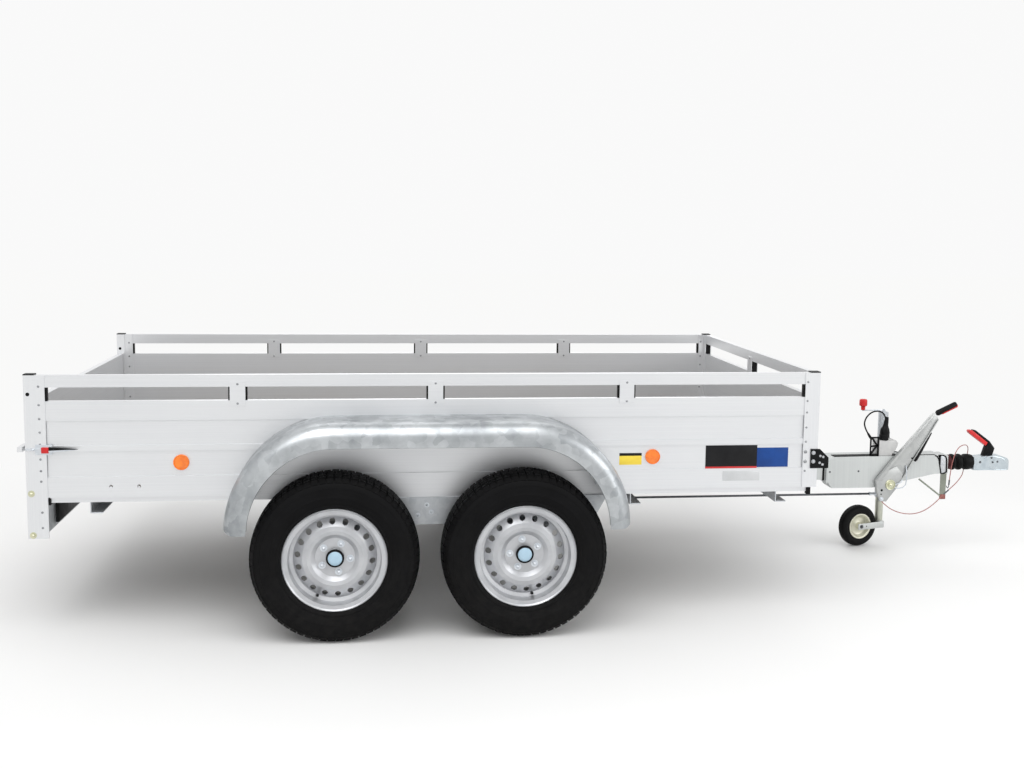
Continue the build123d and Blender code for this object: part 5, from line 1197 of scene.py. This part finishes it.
@dataclass
class RoadWheel:
    """One road wheel: tyre, rim, wheel bolts, hub cap and valve."""

    place: str
    x: float
    side: int
    bolt_angles: Sequence[float]
    valve_angle: float
    out: float = 910.0
    height: float = 316.0
    bolt_circle: float = 56.0
    bolt_seat: float = 35.0
    hub_seat: float = 48.0
    hub_ring: Sequence[Pair] = ((-4, 34), (4, 34), (6.5, 32.5), (6.5, 27.5), (3, 27), (-4, 27))
    hub_cap: Sequence[Pair] = ((-30, 0), (-30, 17), (-2, 17), (0, 27.1), (6.5, 26.5), (9.5, 23), (11, 12), (11.3, 0))

    def spoke(self, angle: float, radius: float, out: float) -> Point:
        """The point at that angle and radius about the axle, that far out from the wheel's middle plane."""
        turn = math.radians(angle)
        return (self.x + radius * math.cos(turn), self.side * (self.out + out), self.height + radius * math.sin(turn))

    def build(self, shop: Workshop, tyre: Tyre) -> None:
        """Dresses the wheel."""
        body, outward = f"wheel_{self.place}", (0, self.side, 0)
        shop.dress(Paint.RIM, f"rim_{self.place}")
        tyre.build(shop, f"tyre_{self.place}", body, self.spoke(0.0, 0.0, 0.0), self.side)
        heads = [Fastener(self.spoke(angle, self.bolt_circle, self.bolt_seat), outward, 10.5)
                 for angle in self.bolt_angles]
        shop.heads(f"wheel_bolts_{self.place}", heads, Head.HEX, Paint.ZINC_BRIGHT, 0.9, body, YELLOW_STEEL)
        hub = self.spoke(0.0, 0.0, self.hub_seat)
        Blank(shop).lathe(self.hub_ring, hub, outward, 40).finish(f"hub_ring_{self.place}", Paint.BLACK, body=body)
        Blank(shop).lathe(self.hub_cap, hub, outward, 40).finish(f"hub_cap_{self.place}", Paint.CAP_BLUE, body=body)
        root, tip = (Vector(self.spoke(self.valve_angle, *place)) for place in ((158, 36), (148, 72)))
        Blank(shop).bar((root, root.lerp(tip, 0.65), root.lerp(tip, 0.66), tip), (6.2, 5.0, 3.8, 3.8), 10).finish(
            f"valve_{self.place}", Paint.BLACK, body=body)


@dataclass
class RunningGear:
    """The four wheels, the axles, the swing arms and their carriers between the wheels."""

    carrier_face: float = 785.0
    bolts: Sequence[Pair] = ((1490, 470), (1507, 442), (1455, 430))
    wheels: Sequence[tuple] = (("rear", WHEELS_X[0], (67, -5, -77, -149, 139), -115.0),
                               ("front", WHEELS_X[1], (28, 100, 179, -116, -45), -79.0))

    def build(self, shop: Workshop) -> None:
        """Dresses wheels and gear, and bolts the carriers."""
        tyre = Tyre()
        for side, hand in zip(SIDES, ("right", "left")):
            for end, x, bolt_angles, valve_angle in self.wheels:
                RoadWheel(f"{end}_{hand}", x, side, bolt_angles, valve_angle).build(shop, tyre)
        shop.dress(Paint.ZINC, "axle_carriers", "axle_rear", "axle_front", "trailing_arms")
        shop.heads("carrier_bolts", side_heads(self.bolts, self.carrier_face, 7.5), Head.HEX, Paint.ZINC_BRIGHT, 0.6)


# ---------------------------------------------------------------- drawbar
@dataclass
class Drawbar:
    """Beam on the square tube: black strip of painted shade along its top, collar, strap with its seals at the nose,
    brake rod, hanging stay.
    """

    strip: Sequence[Pair] = ((3442, 483.8), (3760, 486.3), (3760, 488.8), (3442, 486.6))
    strip_end: Sequence[Pair] = ((3760, 486.3), (3941, 487.7), (3941, 490.4), (3760, 488.8))
    screws: Sequence[Point] = ((3423, 412, 4.5), (3564, 414, 5.0))
    collar: Sequence[tuple[Pair, Pair]] = (((-42, -40), (371, 455)), ((40, 42), (371, 455)),
                                           ((-42, 42), (453, 455)), ((-42, 42), (371, 373)))
    strap: Sequence[Pair] = ((3956, 487), (3984, 487), (3999, 470), (4003, 402), (3987, 397), (3976, 397), (3962, 470))

    def edge_strips(self, shop: Workshop) -> None:
        """Lays a black strip of painted shade along the beam's top edge, which runs on as a thin line to the nose, and
        the tube's collar.
        """
        # painted shade: a black strip along the beam's top edge, thinner towards the nose
        strip = Blank(shop)
        strip.slab(self.strip, -BEAM_SIDE, -4)
        strip.slab(self.strip_end, -BEAM_SIDE - 0.4, -BEAM_SIDE + 8)
        strip.finish("beam_shade_strip", Paint.RUBBER, bevel=0.8)
        collar = Blank(shop)
        for y, z in self.collar:
            collar.block((3390, 3399), y, z)
        collar.finish("tube_collar", Paint.BLACK)

    def nose_strap(self, shop: Workshop) -> None:
        """Fits the bright strap at the nose and the black seals along both its edges."""
        strap, seals = Blank(shop), Blank(shop)
        for side in SIDES:
            strap.slab(self.strap, 43.5, BEAM_SIDE, side)
            y, top = side * 50.2, 484 - 2 * side
            seals.bar(((3941, y, top), (3954, y, top - 6), (3962, y, 467), (3976, y, 397), (3988, y, 397)), 3.2, 8)
            seals.bar(((3960, y, top), (3985, y, top - 1), (3997, y, 478), (4001, y, 466), (4003.5, y, 404),
                       (3988, y, 397)), 3.2, 8)
        strap.finish("nose_strap", Paint.ZINC, bevel=1.2)
        seals.finish("nose_seals", Paint.RUBBER)

    def rod_and_stay(self, shop: Workshop) -> None:
        """Gives the brake rod its threaded front end and the stay its red sleeve."""
        # painted shade: the brake rod is dressed in dark steel for the shade that it lies in
        shop.dress(Paint.PIT, "brake_rod")
        shop.dress(Paint.STAY, "hanging_stay")
        Blank(shop).bar(((3644, 0, 292), (3650, 0, 292), (3650.5, 0, 292), (3698, 0, 292)), (8.5, 8.5, 6.4, 6.4),
                        12).finish("rod_thread", Paint.ZINC_BRIGHT)
        Blank(shop).block((4001, 4029.5), (-4.2, 4.2), (260.2, 284)).finish("stay_sleeve", Paint.STAY_RED, bevel=1.5)

    def build(self, shop: Workshop) -> None:
        """Dresses the drawbar, and sets the small plug screws on the beam's sides."""
        shop.dress(Paint.BEAM, "drawbar_tube", "drawbar_beam", "drawbar_flange", "overrun_housing")
        self.edge_strips(shop)
        self.nose_strap(shop)
        screws = [head for x, z, radius in self.screws for head in side_heads(((x, z),), BEAM_SIDE, radius)]
        shop.heads("beam_screws", screws, Head.DOME, Paint.PIT, 0.35)
        self.rod_and_stay(shop)


# ---------------------------------------------------------------- overrun coupling
@dataclass
class Coupling:
    """Bellows, pressed coupling head and its red and black handle."""

    bellows_place: Point = (4010.3, 0, 443)
    red_end: Sequence[Pair] = ((0, 26.2), (0, 32), (3, 34.5), (11, 35), (15.5, 31), (20, 35), (28, 35), (31.5, 31),
                               (31.5, 26.2))
    folds: Sequence[Pair] = (
        (31.5, 26.2), (31.5, 32), (35, 37.2), (38.5, 38.6), (44, 38.6), (48, 37.2), (53, 31), (57, 27.5), (61, 31),
        (66, 37.2), (70, 38.6), (78, 38.6), (82, 37.2), (88, 31), (93, 27.5), (97.5, 31), (101, 36.2), (106, 38),
        (120, 38), (133, 36.2), (140, 34), (142.4, 31.5), (142.4, 26.2))
    head_rear: float = 4153.3
    nose: float = 4307.0
    nose_radius: float = 34.5
    head_bottom: float = 406.0
    rivets: Sequence[tuple[float, float, float, float]] = (
        (4185, 26, 445, 6.2), (4241, 28.5, 466, 5.2), (4247, 30, 444.5, 5.2), (4270, 32, 447.5, 5.2))
    grip: Sequence[Pair] = ((4216, 522), (4132, 583), (4126.5, 592), (4130, 599), (4144, 598.5), (4226, 537))
    spine: Sequence[Pair] = ((4146, 596), (4152, 600), (4162, 598), (4236, 544), (4263, 509), (4252, 472.5),
                             (4204, 472.5), (4214, 506), (4219, 521), (4228, 535))

    def bellows(self, shop: Workshop) -> None:
        """Turns the bellows: a dark red end, two deep folds and the front cuff."""
        Blank(shop).lathe(self.red_end, self.bellows_place, FORWARD, 48).finish(
            "gaiter_red_end", Paint.DARK_RED, angle=50.0)
        Blank(shop).lathe(self.folds, self.bellows_place, FORWARD, 48).finish(
            "gaiter_folds", Paint.RUBBER, replaces=("gaiter",), angle=50.0)

    def head(self, shop: Workshop) -> None:
        """Gives the head its lower flange, pressed swage and rivets."""
        shop.dress(Paint.ZINC_BLUE, "coupling_head")
        edge = [(self.head_rear, 28.5), (self.head_rear + 80, 28.5), (self.head_rear + 102, self.nose_radius),
                (self.nose, self.nose_radius)]
        turns = [math.radians(angle) for angle in range(75, -90, -15)]
        tip = [(self.nose + self.nose_radius * math.cos(a), self.nose_radius * math.sin(a)) for a in turns]
        Blank(shop).slab(edge + tip + [(x, -y) for x, y in reversed(edge)], self.head_bottom - 0.4,
                         self.head_bottom + 3.6, flat=True).finish("head_flange", Paint.ZINC_BLUE, bevel=1.2)
        swage = Blank(shop)
        for s in SIDES:
            swage.bar(((4208, s * 26, 462), (4222, s * 27, 471), (4244, s * 29, 474), (4268, s * 31.5, 470),
                       (4292, s * 31.5, 464), (4312, s * 29, 452)), 3.0, 8)
        swage.finish("head_swage", Paint.ZINC_BLUE)
        heads = [head for x, out, z, radius in self.rivets for head in side_heads(((x, z),), out, radius)]
        shop.heads("head_rivets", heads, Head.DOME, Paint.PIT, 0.35)

    def handle(self, shop: Workshop) -> None:
        """Builds the locking handle: black foot and spine, red grip under the spine."""
        Blank(shop).slab(self.grip, -14, 14).finish("handle_grip", Paint.RED, bevel=2.2)
        Blank(shop).slab(self.spine, -12.8, 12.8).finish(
            "handle_spine", Paint.BLACK, bevel=2.0, replaces=("coupling_handle",))

    def build(self, shop: Workshop) -> None:
        """Dresses the coupling."""
        self.bellows(shop)
        self.head(shop)
        self.handle(shop)


# ---------------------------------------------------------------- handbrake
@dataclass
class Handbrake:
    """Pressed lever with a raised edge, pivot washer and nut, grip, spring strut and wire clip."""

    inner: float = -53.0
    web: float = -68.0
    face: float = -72.5
    rim: float = -74.8
    middle: float = -64.0
    pressing: Sequence[Pair] = (
        (3666, 271), (3647, 327), (3642, 373), (3714, 461), (3900, 678), (3918, 694), (3934, 678), (3941, 663),
        (3841, 496), (3808, 440), (3746, 330), (3698, 269))
    ridge: Sequence[Pair] = (
        (3644, 374), (3715, 461), (3901, 678), (3912, 686), (3918, 681), (3754, 490), (3704, 424), (3672, 372))
    plate: Sequence[Pair] = (
        (3667, 272), (3648, 327), (3644, 372), (3676, 412), (3742, 440), (3776, 400), (3745, 331), (3698, 270))
    flange: Sequence[Pair] = (
        (3941, 663), (3841, 496), (3808, 440), (3776, 384), (3773, 386), (3805, 443), (3837, 498), (3936, 664))
    washer: Sequence[Pair] = ((-20, 0), (-20, 11.5), (-0.5, 11.5), (-0.5, 24.5), (4, 24.5), (6, 22.8), (5.2, 20),
                              (1.8, 18.5), (1.5, 0))
    holes: Sequence[Point] = ((3673, 325.5, 6.2), (3671, 306, 3.4))
    clip_runs: Sequence[Sequence[Point]] = (
        ((3735, -75, 338), (3752, -77, 334), (3774, -78, 338), (3788, -78, 352), (3792, -77, 380), (3790, -75, 420),
         (3788, -72, 442)),
        ((3735, -75, 352), (3752, -77, 358), (3768, -76, 364), (3772, -71, 374)))

    def lever(self, shop: Workshop) -> None:
        """Presses the lever: web, raised rear edge, pivot plate and thin front flange."""
        blank = Blank(shop).slab(self.pressing, self.web, self.inner)
        for corners, out in ((self.ridge, self.rim), (self.plate, self.face), (self.flange, self.rim)):
            blank.slab(corners, out, self.web)
        blank.finish("lever_pressing", Paint.LEVER, bevel=1.6, replaces=("brake_lever",))

    def pivot(self, shop: Workshop) -> None:
        """Fits the dished washer, the nut, black discs of painted shade in the plate's two holes, the cable's eye and
        the wire clip.
        """
        outward = (0, -1, 0)
        Blank(shop).lathe(self.washer, (3714, self.face, 352), outward, 40).finish(
            "pivot_washer", Paint.ZINC_YELLOW, replaces=("lever_pivot",), angle=28.0)
        nut = Fastener((3714, self.face - 1.2, 352), outward, 11.8)
        shop.heads("pivot_nut", [nut], Head.HEX, Paint.ZINC_YELLOW, 0.75)
        # painted shade: thin black discs where the plate's two holes are
        holes = [Fastener((x, self.face, z), outward, radius) for x, z, radius in self.holes]
        shop.heads("lever_hole_shades", holes, Head.DISC, Paint.BLACK, 0.10)
        shop.heads("cable_eye", [Fastener((3674, self.face, 283), outward, 7.8)], Head.HEX, Paint.ZINC_BRIGHT, 0.55)
        clip = Blank(shop)
        for run in self.clip_runs:
            clip.bar(run, 2.7, 8)
        clip.finish("wire_clip", Paint.ZINC_BRIGHT)

    def grip(self, shop: Workshop) -> None:
        """Sleeves the lever's end in black over a red liner that shows along its underside and tip."""
        y = self.middle
        Blank(shop).bar(((3930, y, 690), (3936, y, 693), (4021, y, 733), (4026, y, 735)), (10, 13.6, 13.6, 11.5),
                        20).finish("grip_sleeve", Paint.BLACK, replaces=("lever_grip",))
        Blank(shop).bar(((3950, y, 695), (3956, y, 696.5), (4026, y, 730), (4030, y, 732)), (9, 11.2, 11.8, 8.5),
                        20).finish("grip_liner", Paint.RED)

    def strut(self, shop: Workshop) -> None:
        """Fits the tapered spring strut against the lever's front edge."""
        y = self.middle
        blank = Blank(shop)
        blank.bar(((3829, y, 464), (3834, y, 473), (3857, y, 512), (3887, y, 562), (3909, y, 598)),
                  (9.5, 12.8, 11.5, 7.4, 4.2), 16)
        blank.bar(((3815, y, 478), (3836, y, 474)), 5.5, 12)
        blank.bar(((3890, y, 604), (3908, y, 597)), 4.0, 12)
        blank.finish("spring_strut", Paint.BLACK, replaces=("gas_spring",))

    def build(self, shop: Workshop) -> None:
        """Dresses the handbrake."""
        self.lever(shop)
        self.pivot(shop)
        self.grip(shop)
        self.strut(shop)


# ---------------------------------------------------------------- jockey wheel
@dataclass
class JockeyWheel:
    """Clamp, column, leg with its fork, crank with a red knob, and the small rubber-tyred wheel."""

    column: Point = (3775, 168, 0)
    trail: float = 126.0
    turn: float = math.radians(194.0)
    radius: float = 101.0
    fork_half: float = 30.0
    fork_outer: float = 35.0
    hole_distance: float = 29.0
    tyre: Sequence[Pair] = (
        (2.2, 101), (2.6, 99.2), (4.4, 99.2), (4.8, 100.9), (10, 100.6), (10.4, 98.8), (12, 98.8), (12.4, 100),
        (17, 97.8), (21.5, 93.5), (24, 88), (25, 81), (24.6, 74), (23.6, 71.5), (23.8, 69), (22.8, 64.5), (20.5, 62))
    rim: Sequence[Pair] = (
        (25, 6.6), (25, 12.5), (24, 13.8), (8.5, 16.5), (6.2, 20), (6, 39), (8, 45), (15, 50.5), (21, 53), (24, 56),
        (25.2, 60), (24.6, 62.2), (20.5, 61.6))
    leg_profile: Sequence[Pair] = ((100, 0), (100, 18.6), (101.5, 19), (594, 19), (595, 0))
    side_bar: Sequence[Pair] = ((144, 85), (144, 115), (-8, 118), (-8, 86))
    crown: Sequence[Pair] = ((17, 86), (17, 119.5), (-8, 119.5), (-8, 86))
    stem: Sequence[Pair] = ((660.5, 0), (660.5, 13), (663, 13), (664, 7), (674, 7), (675, 0))
    knob: Sequence[Pair] = ((672, 0), (672, 10), (687, 10.4), (690, 12), (693, 17.8), (697, 19), (718, 18.8),
                            (723, 17.2), (724.8, 14), (725, 0))
    arm: float = 106.0

    @property
    def ahead(self) -> Vector:
        """The way that the fork trails."""
        return Vector((math.cos(self.turn), math.sin(self.turn), 0.0))

    @property
    def axle(self) -> Vector:
        """The direction of the wheel's axle."""
        return Vector((math.sin(self.turn), -math.cos(self.turn), 0.0))

    @property
    def centre(self) -> Vector:
        """The wheel's centre."""
        return Vector(self.column) + self.trail * self.ahead + Vector((0.0, 0.0, self.radius))

    def wheel(self, shop: Workshop) -> None:
        """Turns the tyre and the pressed rim."""
        tread = [(0, self.radius), *self.tyre, *mirrored(self.tyre)]
        Blank(shop).lathe(tread, self.centre, self.axle, 56).finish(
            "jockey_tyre_rubber", Paint.RUBBER, replaces=("jockey_tyre",), body="jockey_wheel")
        Blank(shop).lathe([*self.rim, *mirrored(self.rim)], self.centre, self.axle, 48).finish(
            "jockey_rim_pressing", Paint.CREAM, replaces=("jockey_rim",), body="jockey_wheel")

    def leg(self, shop: Workshop) -> None:
        """Builds the sliding leg and the fork that trails from its foot."""
        outer, fork = self.fork_outer, "jockey_fork"
        Blank(shop).lathe(self.leg_profile, self.column, UPWARD, 36).finish(
            "leg_tube", Paint.LEG, replaces=("jockey_leg",), body=fork)
        bars = Blank(shop)
        for side in SIDES:
            bars.slab(self.side_bar, self.fork_half, outer, side)
        bars.slab(self.crown, 1 - outer, outer - 1)
        bars.turn(Matrix.Translation(self.column) @ Matrix.Rotation(self.turn, 4, "Z")).finish(
            "fork_bars", Paint.BEAM, bevel=1.4, body=fork)
        Blank(shop).lathe(((-outer, 0), (-outer, 6), (outer, 6), (outer, 0)), self.centre, self.axle, 20).finish(
            "fork_axle", Paint.ZINC, body=fork)
        ends = [(self.centre + side * outer * self.axle, side * self.axle) for side in SIDES]
        shop.heads("fork_axle_nuts", [Fastener(end, way, 7.2) for end, way in ends], Head.HEX, Paint.PIT, 0.8, fork)
        # painted shade: thin black discs where the fork plates' holes are
        back = self.hole_distance * self.ahead
        shop.heads("fork_hole_shades", [Fastener(end - back, way, 3.4) for end, way in ends], Head.DISC, Paint.BLACK, 0.14,
                   fork)

    def crank(self, shop: Workshop) -> None:
        """Builds the winding arm and its red knob."""
        x, y, z = self.column
        tube = "jockey_tube"
        Blank(shop).block((x - self.arm - 5, x + 9), (y - 5, y + 5), (667.5, 672.5)).finish(
            "crank_arm", Paint.ZINC_BRIGHT, bevel=1.4, body=tube)
        Blank(shop).lathe(self.stem, self.column, UPWARD, 24).finish("crank_stem", Paint.ZINC, body=tube)
        Blank(shop).lathe(self.knob, (x - self.arm, y, z), UPWARD, 28).finish(
            "crank_knob", Paint.RED, replaces=("jockey_crank",), body=tube)

    def build(self, shop: Workshop) -> None:
        """Dresses the jockey wheel, and adds the clamp's screw with its cross bar."""
        self.wheel(shop)
        self.leg(shop)
        self.crank(shop)
        shop.dress(Paint.ZINC, "jockey_clamp", "jockey_column")
        screw = Blank(shop).bar(((3800, 168, 406), (3842, 168, 406)), 6.0, 12)
        screw.bar(((3838, 168, 376), (3838, 168, 436)), 4.5, 12).finish("clamp_screw", Paint.ZINC_BRIGHT)


# ---------------------------------------------------------------- plug and its holder
@dataclass
class PlugHolder:
    """Grey casing on the beam, black lattice bracket beside it, and the parked plug."""

    casing: Sequence[Pair] = ((3661, 485), (3661, 560), (3745.5, 560), (3755.5, 547), (3751.5, 532), (3743.5, 514),
                              (3725.5, 492), (3725.5, 485.8))
    lattice: Sequence[Sequence[Pair]] = (
        ((3616, 484), (3623, 484), (3623, 578), (3616, 578)), ((3652, 484), (3660, 484), (3660, 578), (3652, 578)),
        ((3616, 571), (3660, 571), (3660, 578), (3616, 578)), ((3616, 484), (3660, 484), (3660, 498), (3616, 497)),
        ((3618, 499), (3626, 495), (3658, 540), (3650, 544)), ((3650, 530), (3658, 534), (3628, 576), (3620, 572)),
        ((3620, 528), (3656, 533), (3656, 541), (3620, 536)))
    comb: Sequence[float] = (3716, 3723, 3730, 3737)
    tab: Sequence[Point] = ((3742, -30, 500), (3752, -34, 503), (3762, -37, 499), (3768, -38, 494))
    gland: Sequence[Point] = ((3604, -43.6, 595), (3610, -45, 585.5), (3616, -46.3, 575.8), (3622, -47, 566))
    plug: Sequence[Pair] = (
        (0, 0), (0, 21.2), (4, 22.2), (22, 22.2), (24, 20.6), (29, 20.6), (31, 21.6), (50, 20.8), (57, 17.8),
        (66, 13.4), (72, 11.6), (86, 10.6), (100, 9.2), (110, 8), (112, 0))
    plug_place: Point = (3689, -30, 560.2)
    plug_lean: Point = (10, 0, 86)
    latch: Sequence[Pair] = ((3708, 571), (3716, 577), (3717, 598), (3712, 611), (3706, 611))

    def build(self, shop: Workshop) -> None:
        """Builds casing, bracket, comb, gland and plug."""
        Blank(shop).slab(self.casing, -BEAM_SIDE, 30).finish(
            "plug_casing", Paint.CASE, bevel=2.5, replaces=("plug_holder",))
        bracket = Blank(shop)
        for bar in self.lattice:
            bracket.slab(bar, -BEAM_SIDE, 6 - BEAM_SIDE)
        for x in self.comb:
            bracket.block((x, x + 4), (16, 24), (558, 569.5))
        bracket.bar(self.tab, 2.6, 8)
        bracket.bar(self.gland, (4.6, 6.0, 6.0, 5.2), 14)
        bracket.finish("plug_bracket", Paint.BLACK, bevel=0.6)
        Blank(shop).lathe(self.plug, self.plug_place, self.plug_lean, 32).finish(
            "plug_body", Paint.BLACK, replaces=("plug",), angle=30.0)
        Blank(shop).slab(self.latch, -36, -24).finish("plug_latch", Paint.BLACK, bevel=1.2)


# ---------------------------------------------------------------- main
def main() -> None:
    """Builds the scene: studio and cords first, then each sub-assembly."""
    logging.basicConfig(level=logging.INFO, format="%(name)s: %(message)s")
    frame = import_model()
    Studio().build()
    shop = Workshop(frame["nodes"])
    PLUG_CABLE.build(shop)
    BREAKAWAY_CABLE.build(shop, (cable_clip(shop),))
    for assembly in (LoadBox(), TailLights(), Mudguards(), RunningGear(), Drawbar(), Coupling(), Handbrake(),
                     JockeyWheel(), PlugHolder()):
        assembly.build(shop)


if __name__ == "__main__":
    main()
